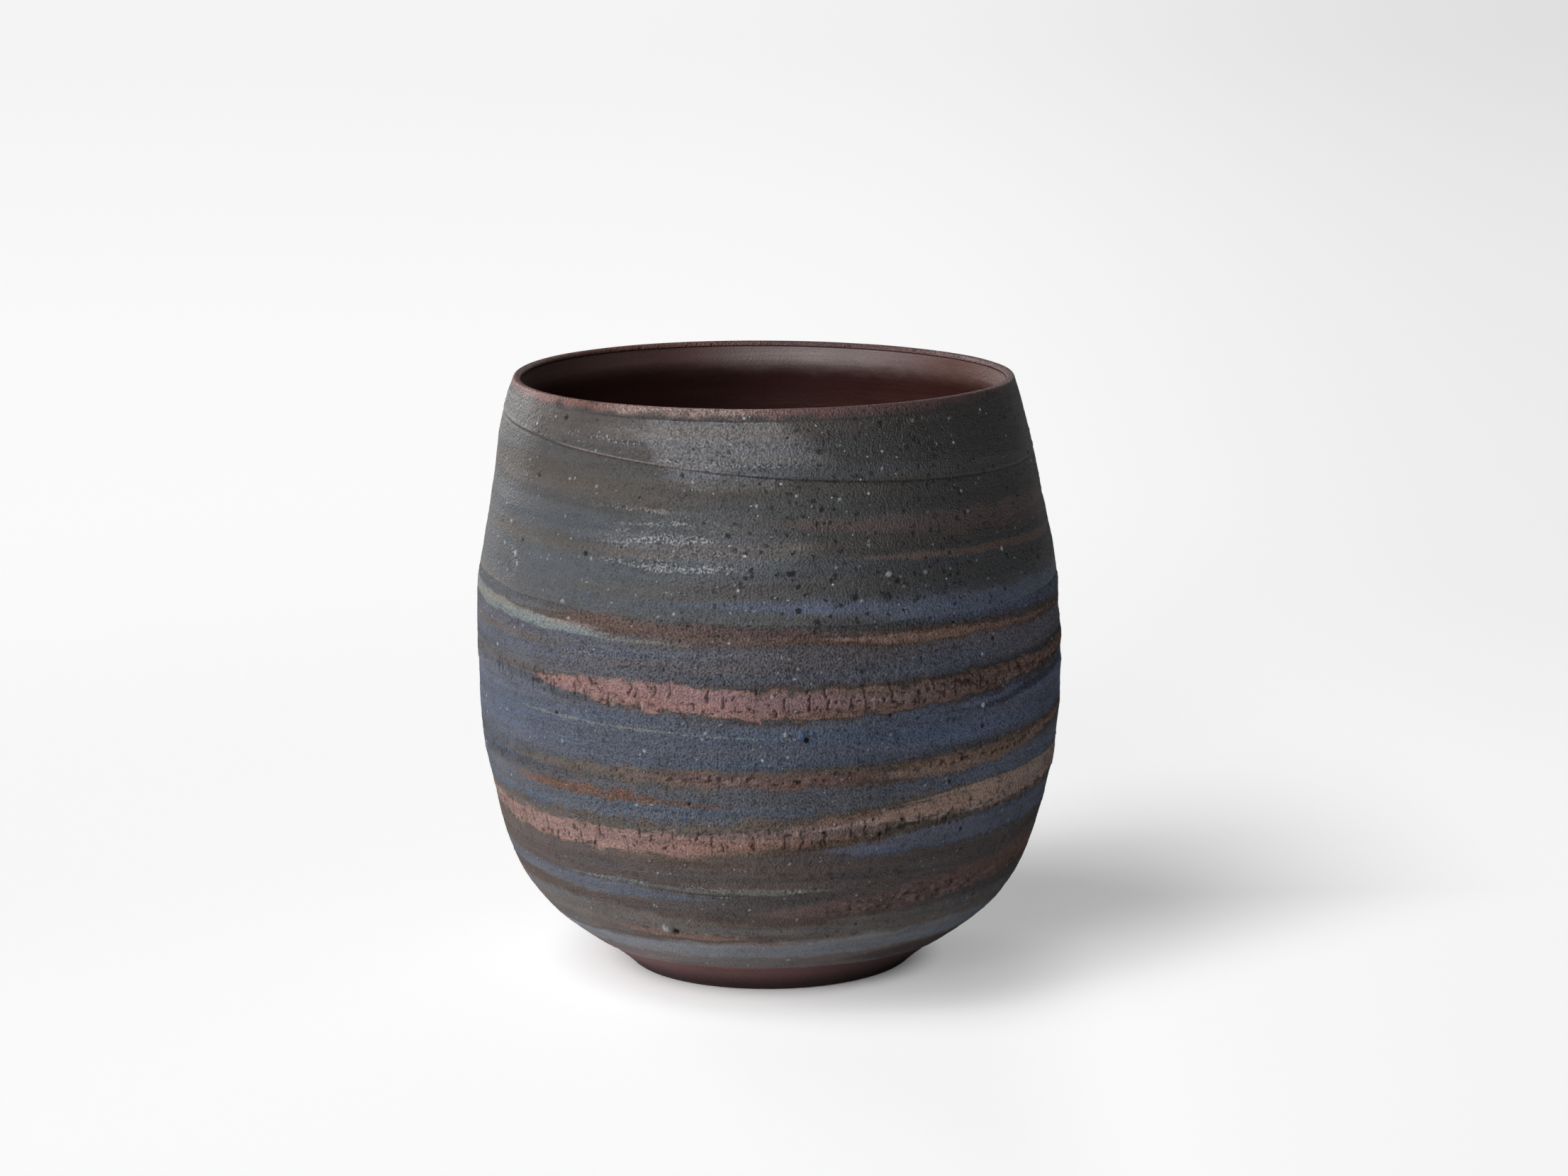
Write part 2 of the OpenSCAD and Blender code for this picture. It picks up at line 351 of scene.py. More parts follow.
leather = {
    "heights": [0.0, 3.5, 8.0, 16.0, 24.0, 40.0, 46.0, 54.0, 62.0, 69.0],
    "pebbles": [0.004, 0.008, 0.03, 0.04, 0.045, 0.045, 0.03, 0.014, 0.01, 0.006],   # pebble height
    "pebbleSize": 0.62,
    "fullPebble": 0.06,       # pebble height at which the painted shade in the hollows between is darkest
    "patchSize": 2.4,
    "sand": 0.022,
    "sandSize": 0.42,
    "throwing": 0.04,         # fine lines left by the fingers
    "throwingSize": (26.0, 26.0, 1.1),
    "lumps": 0.07,
    "lumpSize": 5.0,
    "ringFill": 0.8,          # the coloured clays fill most of the rings
    "grit": 0.035,            # height of the grit in the rougher clays
    "gritSize": 0.36,
    "seamFade": 0.4,          # a clay's own relief fades out this near its seams
}
rimGroove = {
    "depth": 0.2, "halfWidth": 0.16,
    "steady": 0.55, "fading": 0.45, "fadeSize": 14.0,      # it is deeper in some places
    "ledge": 0.06, "ledgeAt": 2.2, "ledgeWidth": 1.4,      # raised above it, in half widths
}


def commonRelief(angle, z):
    points = onCup(angle, outerRadius(z), z)
    pebble = np.interp(z, leather["heights"], leather["pebbles"])
    rough = layeredCloud(points, leather["pebbleSize"], 31, 2)
    patchy = 0.6 + 0.4 * smoothStep(-0.5, 0.4, cloud(points, leather["patchSize"], 37))
    # how deep each hollow between pebbles lies, for painted shade there
    hollow = smoothStep(-0.1, -0.7, rough) * patchy * pebble / leather["fullPebble"]
    relief = pebble * rough * patchy
    relief = relief + leather["sand"] * cloud(points, leather["sandSize"], 41)
    relief = relief + leather["throwing"] * layeredCloud(points, leather["throwingSize"], 51)
    relief = relief + leather["lumps"] * cloud(points, leather["lumpSize"], 61)
    relief = relief + ringDip(z) * leather["ringFill"] + outOfRound(angle, z)
    groove = seamHeight(len(bands) - 1, angle)
    atRim = onCup(angle, 30.0, np.full_like(angle, 90.0))
    fade = rimGroove["steady"] + rimGroove["fading"] * cloud(atRim, rimGroove["fadeSize"], 71)
    above = (z - groove) / rimGroove["halfWidth"]
    relief = relief - rimGroove["depth"] * fade * np.exp(-above ** 2)
    ledge = np.exp(-((above - rimGroove["ledgeAt"]) / rimGroove["ledgeWidth"]) ** 2)
    return relief + rimGroove["ledge"] * ledge, hollow


def bakeMap(mesh, corners):
    layer = mesh.uv_layers.new(name="OFBake")
    layer.data.foreach_set("uv", np.ascontiguousarray(corners, dtype=np.float32).ravel())


def gridRing(name, rings, sharpRows, strips):
    # closes a stack of rings into one solid ring, first row following the last
    rows, around = rings.shape[:2]
    mesh = bpy.data.meshes.new(name)
    rowHere = np.arange(rows)[:, None]
    rowNext = (rowHere + 1) % rows
    colHere = np.arange(around)[None, :]
    colNext = (colHere + 1) % around
    quads = np.stack([
        rowHere * around + colHere, rowHere * around + colNext,
        rowNext * around + colNext, rowNext * around + colHere], axis=-1).reshape(-1, 4)
    fillMesh(mesh, rings.reshape(-1, 3) * millimetre, quads)
    edgeEnds = np.empty(len(mesh.edges) * 2, dtype=np.int32)
    mesh.edges.foreach_get("vertices", edgeEnds)
    edgeRows = edgeEnds.reshape(-1, 2) // around
    sharp = np.isin(edgeRows[:, 0], sharpRows) & (edgeRows[:, 0] == edgeRows[:, 1])
    mesh.attributes.new("sharp_edge", "BOOLEAN", "EDGE").data.foreach_set("value", sharp)
    # the ring is cut into strips stacked in the square, the hidden faces narrow at the top of each
    perStrip = around // strips
    strip = colHere // perStrip
    left = mapGap + (colHere % perStrip) / perStrip * (1.0 - 2.0 * mapGap)
    right = left + (1.0 - 2.0 * mapGap) / perStrip
    share = np.concatenate([np.linspace(0.0, 0.86, rows - 2), [0.89, 0.97, 1.0]])[:, None]
    level = (strip / strips) + mapGap + share * (1.0 / strips - 2.0 * mapGap)
    corners = [(left, level[:-1]), (right, level[:-1]), (right, level[1:]), (left, level[1:])]
    bakeMap(mesh, np.stack([np.stack(np.broadcast_arrays(u, v), axis=-1) for u, v in corners], axis=2))
    return mesh


def fillMesh(mesh, points, faces):
    mesh.vertices.add(len(points))
    mesh.vertices.foreach_set("co", points.astype(np.float32).ravel())
    mesh.loops.add(faces.size)
    mesh.loops.foreach_set("vertex_index", faces.astype(np.int32).ravel())
    mesh.polygons.add(len(faces))
    mesh.polygons.foreach_set("loop_start", np.arange(0, faces.size, faces.shape[1], dtype=np.int32))
    mesh.polygons.foreach_set("use_smooth", np.ones(len(faces), dtype=bool))
    mesh.update(calc_edges=True)
    mesh.validate()


def pointField(mesh, name, values):
    layer = mesh.attributes.new(name, "FLOAT", "POINT")
    layer.data.foreach_set("value", np.ascontiguousarray(values, dtype=np.float32).ravel())


def seatPiece(mesh, piece, material):
    shape = bpy.data.objects.new(piece["node"] + "_clay", mesh)
    bpy.context.scene.collection.objects.link(shape)
    mesh.materials.append(material)
    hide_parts(piece["node"])
    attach(shape, "root")
    return shape


def scatter(random, count, angle, low, high, margin, frontShare=1.0):
    # angles and heights of spots kept inside the band, fewer on the left front where frontShare is low
    turns = random.uniform(-np.pi, np.pi, count * 2)
    keep = random.uniform(0.0, 1.0, count * 2)
    share = random.uniform(0.0, 1.0, count * 2)
    leftFront = smoothStep(-2.4, -1.8, turns) * smoothStep(0.5, 0.0, turns)
    kept = np.flatnonzero(keep > leftFront * (1.0 - frontShare))[:count]
    turns = turns[kept]
    bottom = np.interp(turns, angle, low)
    top = np.interp(turns, angle, high)
    return turns, bottom + margin + share[kept] * (top - bottom - 2 * margin)


def nearColumns(angle, radius, turn, reach):
    # the columns within reach of a place, and how far each lies from it round the cup
    step = 2.0 * np.pi / len(angle)
    middle = int(round((turn + np.pi) / step))
    wide = int(math.ceil(reach / (radius * step))) + 1
    cols = np.arange(middle - wide, middle + wide + 1) % len(angle)
    across = (angle[cols] - turn + np.pi) % (2.0 * np.pi) - np.pi
    return cols, across * radius


def stampSpots(angle, z, radius, places, sizes, lift, uneven, relief, mask):
    # presses or raises an uneven spot at each place
    for turn, height, size in zip(*places, sizes):
        cols, across = nearColumns(angle, radius, turn, 1.6 * size)
        away = np.sqrt(across ** 2 + (z[:, cols] - height) ** 2) / size * (1.0 + 0.35 * uneven[:, cols])
        spot = smoothStep(1.25, 0.5, away)
        relief[:, cols] += lift * size * spot
        mask[:, cols] = np.maximum(mask[:, cols], spot)


def tearUpright(random, count, angle, z, radius, low, high, sizes, relief, crack):
    # short crooked tears, opened as the wall was pushed out
    shortest, longest, depth = sizes
    for number in range(count):
        turn = (number + random.uniform(0.0, 1.0)) * 2.0 * np.pi / count - np.pi
        bottom = np.interp(turn, angle, low)
        top = np.interp(turn, angle, high)
        half = random.uniform(shortest, longest) / 2
        middle = random.uniform(bottom + 0.5, top - 0.5)
        width = random.uniform(0.10, 0.17)
        sway = random.uniform(0.15, 0.45)
        cols, across = nearColumns(angle, radius, turn, 0.9)
        height = z[:, cols]
        line = np.stack([height, np.full_like(height, number * 7.3), np.zeros_like(height)], axis=-1)
        crooked = sway * layeredCloud(line, (0.9, 1.0, 1.0), 240, 2)
        away = np.abs(across - crooked) / width
        ends = smoothStep(1.0, 0.6, np.abs(height - middle) / half)
        opened = smoothStep(1.0, 0.35, away) * ends
        beside = np.exp(-((away - 1.7) / 0.6) ** 2) * ends
        relief[:, cols] += depth * (0.3 * beside - opened)
        crack[:, cols] = np.maximum(crack[:, cols], opened)


# pits and grains: margin to the seams, share on the smoother left front, sizes, how far they stand out
specks = {
    "pit": {
        "margin": 0.4, "leftShare": 0.15, "least": 0.07, "spread": 0.2, "lift": -0.8, "beadLift": -0.8,
    },
    "grain": {
        "margin": 0.3, "leftShare": 1.0, "least": 0.07, "spread": 0.13, "lift": 0.45, "beadLift": 0.6,
    },
    "blueGrain": {
        "margin": 0.3, "leftShare": 1.0, "least": 0.07, "spread": 0.12, "lift": 0.4, "beadLift": 0.6,
    },
}
# coarse grains dragged sideways tore the skin
dragMark = {
    "seed": 103, "sway": 0.25, "swaySize": 3.0, "power": 2, "fade": 0.2,
    "depth": 0.1, "grainSize": 0.45, "patchSize": (1.8, 1.8, 0.6),
}
# clay that tore into crumbs as it was stretched
crumbMark = {
    "seed": 123, "sway": 0.3, "swaySize": 2.2, "power": 4, "fade": 0.15,
    "depth": 0.16, "grainSize": (0.55, 0.55, 0.42),
}


def stripAlong(points, angle, z, run, mark):
    # how far a point lies in a strip that slants round the cup and fades at both ends
    start, end, startHeight, endHeight, half = run
    along = np.clip((np.degrees(angle) - start) / (end - start), -0.2, 1.2)
    path = startHeight + (endHeight - startHeight) * along
    path = path + mark["sway"] * cloud(points, mark["swaySize"], mark["seed"])
    strip = np.exp(-((z - path) / half) ** mark["power"])
    return strip * smoothStep(-0.1, mark["fade"], along) * smoothStep(1.1, 1.0 - mark["fade"], along)


def makeBand(number, piece, material):
    angle = np.arange(columns) * (2.0 * np.pi / columns) - np.pi
    low = seamHeight(number, angle)
    high = seamHeight(number + 1, angle)
    rise = np.linspace(0.0, 1.0, piece["rows"])[:, None]
    z = low + (high - low) * rise
    wide = np.broadcast_to(angle, z.shape)
    radius = outerRadius(z)
    points = onCup(wide, radius, z)
    relief, hollow = commonRelief(wide, z)
    inside = smoothStep(0.0, leather["seamFade"], np.minimum(z - low, high - z))
    rightSide = 0.3 + 0.7 * smoothStep(0.0, 1.3, np.sin(wide) + 0.3)      # bands swell more on the right
    own = piece["swell"] * np.sin(np.pi * rise) ** 2 * rightSide
    own = own + piece["grit"] * leather["grit"] * cloud(points, leather["gritSize"], 83)
    random = np.random.default_rng(700 + number)
    uneven = cloud(points, 0.3, 93)
    marks = {name: np.zeros_like(z) for name in ("crack", "crumb", "drag", *specks)}
    around = float(outerRadius(np.array(bandSeams[number] + piece["height"] / 2)))
    for count, *sizes in piece["tears"]:
        tearUpright(random, count, angle, z, around, low, high, sizes, own, marks["crack"])
    for name, speck in specks.items():
        count = piece[name + "s"]
        places = scatter(random, count, angle, low, high, speck["margin"], speck["leftShare"])
        sizes = speck["least"] + speck["spread"] * random.uniform(0.0, 1.0, count) ** 3
        stampSpots(angle, z, around, places, sizes, speck["lift"], uneven, own, marks[name])
    for run in piece["drags"]:
        strip = stripAlong(points, wide, z, run, dragMark)
        patches = cloud(points, dragMark["patchSize"], dragMark["seed"] + 10 + int(run[0]))
        torn = layeredCloud(points, dragMark["grainSize"], dragMark["seed"] + 14, 2)
        own = own + dragMark["depth"] * strip * torn
        marks["drag"] = np.maximum(marks["drag"], strip * smoothStep(-0.5, 0.4, patches))
    for run in piece["crumbs"]:
        strip = stripAlong(points, wide, z, run, crumbMark)
        torn = layeredCloud(points, crumbMark["grainSize"], crumbMark["seed"] + 10 + int(run[0]), 2)
        own = own + crumbMark["depth"] * strip * torn
        marks["crumb"] = marks["crumb"] + strip * torn
    for name, turn, height, size in piece["beads"]:
        place = ([math.radians(turn)], [height])
        stampSpots(angle, z, around, place, [size], specks[name]["beadLift"], uneven, own, marks[name])
    relief = relief + own * inside
    slope = outerSlope(z)
    tilt = 1.0 / np.sqrt(1.0 + slope ** 2)
    outer = onCup(wide, radius + relief * tilt, z - relief * slope * tilt + rimLift(wide, z))
    seat = []
    for edge in (high, low):
        edgeSlope = outerSlope(edge)
        edgeTilt = 1.0 / np.sqrt(1.0 + edgeSlope ** 2)
        backZ = edge + seatDepth * edgeSlope * edgeTilt
        seat.append(onCup(angle, outerRadius(edge) - seatDepth * edgeTilt, backZ + rimLift(angle, edge)))
    rings = np.concatenate([outer, np.stack(seat)], axis=0)
    last = piece["rows"]
    square = math.sqrt(2.0 * math.pi * around / piece["height"])      # strips that would fill the map evenly
    strips = min((4, 5, 8, 10), key=lambda count: abs(count - square))
    mesh = gridRing(piece["node"], rings, [0, last - 1, last, last + 1], strips)
    fields = {name: mark * inside for name, mark in marks.items()}
    # the hollows' mask carries painted shade into the finish
    fields.update(hollow=hollow, overLow=z - low, underHigh=high - z)
    for name, values in fields.items():
        pointField(mesh, name, np.concatenate([values, np.zeros((2, columns))]))
    return seatPiece(mesh, piece, material)


# the red clay: foot, rebate under the coloured clays, lip and inside
clayBody = {
    "node": "clay_body", "slot": "red_clay", "gloss": 0.5, "rough": 0.45, "lipRough": 0.32,
    # the foot's two dark colours are painted shade, towards the floor and on its right
    "clay": "#8b605f", "footShadedClay": "#432528", "footRightShade": "#331f21",
    # the first inside colour is darkened with painted shade; the grey near the lip is grey slip, partly
    # painted light
    "insideShadedClay": "#4b2d29", "insideRed": "#725650", "insideGreyLit": "#8c7b79",
    # the worn lip colour is a pale painted sheen
    "lipLeft": "#855f57", "lipRight": "#765b5b", "lipSheen": "#c6b6b2",
    "soft": 0.25, "ragged": 0.12,
    "crest": 0.5,             # radius of the edge of the lip
    "thick": 0.5,             # the wall thickens under the edge, so that the top of the inside faces up
    "thickAt": 66.2,
    "thickSpan": 2.6,
    "brushing": 0.04,         # lines left round the inside
    "brushingSize": (30.0, 30.0, 2.2),
    "footFade": (0.4, 3.0),   # heights between which the painted shade at the bottom of the foot ends
    "nearLip": (64.6, 67.6),  # and the inside turns greyer and lighter, where the painted shade below ends
    "skinEnd": (1.1, 0.1),    # the grey skin runs out this far above its seam
    "footShade": (0.5, 0.64),      # where painted shade darkens the right of the foot, in turns with 0.5 at the front
    "lipChange": (0.47, 0.58),
    # turns where the painted sheen on the lip sets in and ends
    "lipSheenFrom": (0.38, 0.42),
    "lipSheenTo": (0.535, 0.47),
    # turns of the back and back right, where painted light makes the grey near the lip paler
    "litGreyFrom": (0.84, 0.94),
    "litGreyTo": (0.07, 0.0),
}


def bodyProfile():
    ringIn = cupForm["footRadius"] - cupForm["footRing"]
    recess = cupForm["recessHeight"]
    slopeEnd = ringIn - cupForm["recessSlope"]
    recessFlat = np.array([[0.0, recess], [slopeEnd * 0.5, recess], [slopeEnd - 0.4, recess]])
    recessSlope = np.array([[slopeEnd, recess - 0.15], [ringIn - 0.1, 0.2], [ringIn + 0.2, 0.0]])
    footCorner = np.array([[cupForm["footRadius"] - 0.35, 0.0], [cupForm["footRadius"] - 0.05, 0.06]])
    footZ = 0.25 + np.linspace(0.0, 1.0, 12) * (skinFoot - 0.25)
    foot = np.stack([outerRadius(footZ), footZ], axis=1)
    seatZ = np.linspace(skinFoot, skinTop, 26)
    seatSlope = outerSlope(seatZ)
    seatTilt = 1.0 / np.sqrt(1.0 + seatSlope ** 2)
    seatRadius = outerRadius(seatZ) - seatDepth * seatTilt
    seat = np.stack([seatRadius, seatZ + seatDepth * seatSlope * seatTilt], axis=1)
    lipZ = np.linspace(skinTop, lipOut[1], 5)
    lip = np.stack([outerRadius(lipZ), lipZ], axis=1)
    turn = np.linspace(lean, np.pi, 15)[1:]
    crest = clayBody["crest"]
    crestMiddle = np.array([lipMiddle[0] + lipRadius - crest - 0.06, cupForm["height"] - crest])
    over = crestMiddle + crest * np.stack([np.cos(turn), np.sin(turn)], axis=1)
    drop = np.linspace(over[-1][1] - 0.15, hollowHigh[0][1] + 0.5, 60)
    wall = np.interp(drop, hollowHigh[:, 1], hollowHigh[:, 0])
    wall = wall - clayBody["thick"] * np.exp(-((drop - clayBody["thickAt"]) / clayBody["thickSpan"]) ** 2)
    wall = wall + (over[-1][0] - wall[0]) * smoothStep(drop[0] - 2.4, drop[0], drop)
    return [
        ("under", recessFlat), ("under", recessSlope), ("foot", footCorner), ("foot", foot), ("seat", seat),
        ("lip", lip), ("lip", over),
        ("inside", np.stack([wall, drop], axis=1)), ("inside", hollowLow[::-1][1:]),
    ]


def makeBody(material):
    stretches = bodyProfile()
    profile = np.vstack([points for kind, points in stretches])
    kinds = [kind for kind, points in stretches for row in points]
    angle = np.arange(bodyColumns) * (2.0 * np.pi / bodyColumns) - np.pi
    rings = []
    for (radius, z), kind in zip(profile[1:-1], kinds[1:-1]):
        height = np.full_like(angle, z)
        relief = np.zeros_like(angle)
        outside = kind == "foot" or (kind == "lip" and radius > lipMiddle[0] + 0.1)
        if outside and z > 0.2:
            relief, hollow = commonRelief(angle, height)
        elif kind in ("inside", "lip"):
            brushed = layeredCloud(onCup(angle, radius, height), clayBody["brushingSize"], 81, 2)
            relief = -clayBody["brushing"] * brushed
            relief = relief + outOfRound(angle, height) * smoothStep(45.0, 60.0, height)
        fade = smoothStep(0.0, 2.0, height) if kind == "foot" else 1.0
        rings.append(onCup(angle, radius + relief * fade, height + rimLift(angle, height)))
    rings = np.stack(rings)
    rows = len(rings)
    points = np.vstack([rings.reshape(-1, 3), [[0.0, 0.0, profile[0][1]], [0.0, 0.0, profile[-1][1]]]])
    mesh = bpy.data.meshes.new(clayBody["node"])
    colHere = np.arange(bodyColumns)
    colNext = (colHere + 1) % bodyColumns
    rowHere = np.arange(rows - 1)[:, None]
    quads = np.stack(np.broadcast_arrays(
        rowHere * bodyColumns + colHere, rowHere * bodyColumns + colNext,
        (rowHere + 1) * bodyColumns + colNext, (rowHere + 1) * bodyColumns + colHere), axis=-1)
    quads = quads.reshape(-1, 4)
    bottom = len(points) - 2
    last = (rows - 1) * bodyColumns
    build = [list(map(int, quad)) for quad in quads]
    build += [[bottom, int(b), int(a)] for a, b in zip(colHere, colNext)]
    build += [[bottom + 1, int(last + a), int(last + b)] for a, b in zip(colHere, colNext)]
    mesh.from_pydata((points * millimetre).tolist(), [], build)
    mesh.polygons.foreach_set("use_smooth", np.ones(len(build), dtype=bool))
    mesh.update()
    # the baking map runs round the cup one way and along the profile the other, the hidden seat squeezed
    steps = np.hypot(*np.diff(profile, axis=0).T)
    steps = np.where(np.array(kinds[1:]) == "seat", 0.15 * steps, steps)
    level = mapGap + np.concatenate([[0.0], np.cumsum(steps)]) / steps.sum() * (1.0 - 2.0 * mapGap)
    left = mapGap + colHere / bodyColumns * (1.0 - 2.0 * mapGap)
    right = left + (1.0 - 2.0 * mapGap) / bodyColumns
    low, high = level[1:-2][:, None], level[2:-1][:, None]
    around = [(left, low), (right, low), (right, high), (left, high)]
    around = [np.stack(np.broadcast_arrays(u, v), axis=-1) for u, v in around]
    corners = [np.stack(around, axis=2).reshape(-1, 2)]
    middle = (left + right) / 2
    flat = np.ones(bodyColumns)
    under = [(middle, level[0] * flat), (right, level[1] * flat), (left, level[1] * flat)]
    top = [(middle, level[-1] * flat), (left, level[-2] * flat), (right, level[-2] * flat)]
    for ends in (under, top):
        corners.append(np.stack([np.stack(corner, axis=-1) for corner in ends], axis=1).reshape(-1, 2))
    bakeMap(mesh, np.vstack(corners))
    # one value for each ring, then those of the middles of the underside and of the hollow
    farOff = 99.0
    overSkin = np.array([z if radius > lipMiddle[0] else farOff for radius, z in profile[1:-1]]) - skinTop
    fields = {
        "inside": (np.array([kind == "inside" for kind in kinds[1:-1]], dtype=float), [0.0, 1.0]),
        "lip": (np.array([kind == "lip" for kind in kinds[1:-1]], dtype=float), [0.0, 0.0]),
        "overSkin": (overSkin, [0.0, farOff]),
    }
    for name, (values, middles) in fields.items():
        pointField(mesh, name, np.concatenate([np.repeat(values, bodyColumns), middles]))
    return seatPiece(mesh, clayBody, material)


# colours are written as they look under the lamps

def tint(code):
    parts = [int(code[i:i + 2], 16) / 255.0 for i in (1, 3, 5)]
    parts = [p / 12.92 if p <= 0.04045 else ((p + 0.055) / 1.055) ** 2.4 for p in parts]
    return (*parts, 1.0)


# tints of the streaks, some of them painted sheen and shade
streakTints = {
    "rose": "#a38280",
    "lowRose": "#a9887f",
    "roseBrown": "#967c74",
    "tan": "#cbafa3",
    "paleTan": "#cdb7aa",
    "umber": "#75695f",
    "rosyUmber": "#7d6560",
    "paleUmber": "#9f8980",
    "rust": "#735f58",
    "paleRust": "#a48c84",
    "darkBrown": "#554b46",
    "olive": "#5c5651",
    "redBrown": "#6b5854",
    "threadBrown": "#7e6459",
    "lowRed": "#866d68",
    "rightBlue": "#7b88a5",
    "paleBlue": "#767f95",
    "blueGrey": "#595b5f",
    "lowBlue": "#757a85",
    "lowGrey": "#827f7e",
    "pale": "#8d908d",
    "paleOlive": "#7d746a",
    "palePink": "#a08d84",
    "orangeBrown": "#876e63",
    "greyBrown": "#96867f",
    "edgeRose": "#9c827a",
    "leftBlue": "#747a88",
    "darkBlue": "#676a70",
    # painted sheen
    "paintedSheen": "#929297",
    # pale scratches, partly painted sheen
    "scratchesAndSheen": "#b3b0ac",
    # darkens the upper left
    "darkerUpperLeft": "#2f2a28",
    "shadowBrown": "#2f2a2b",
}
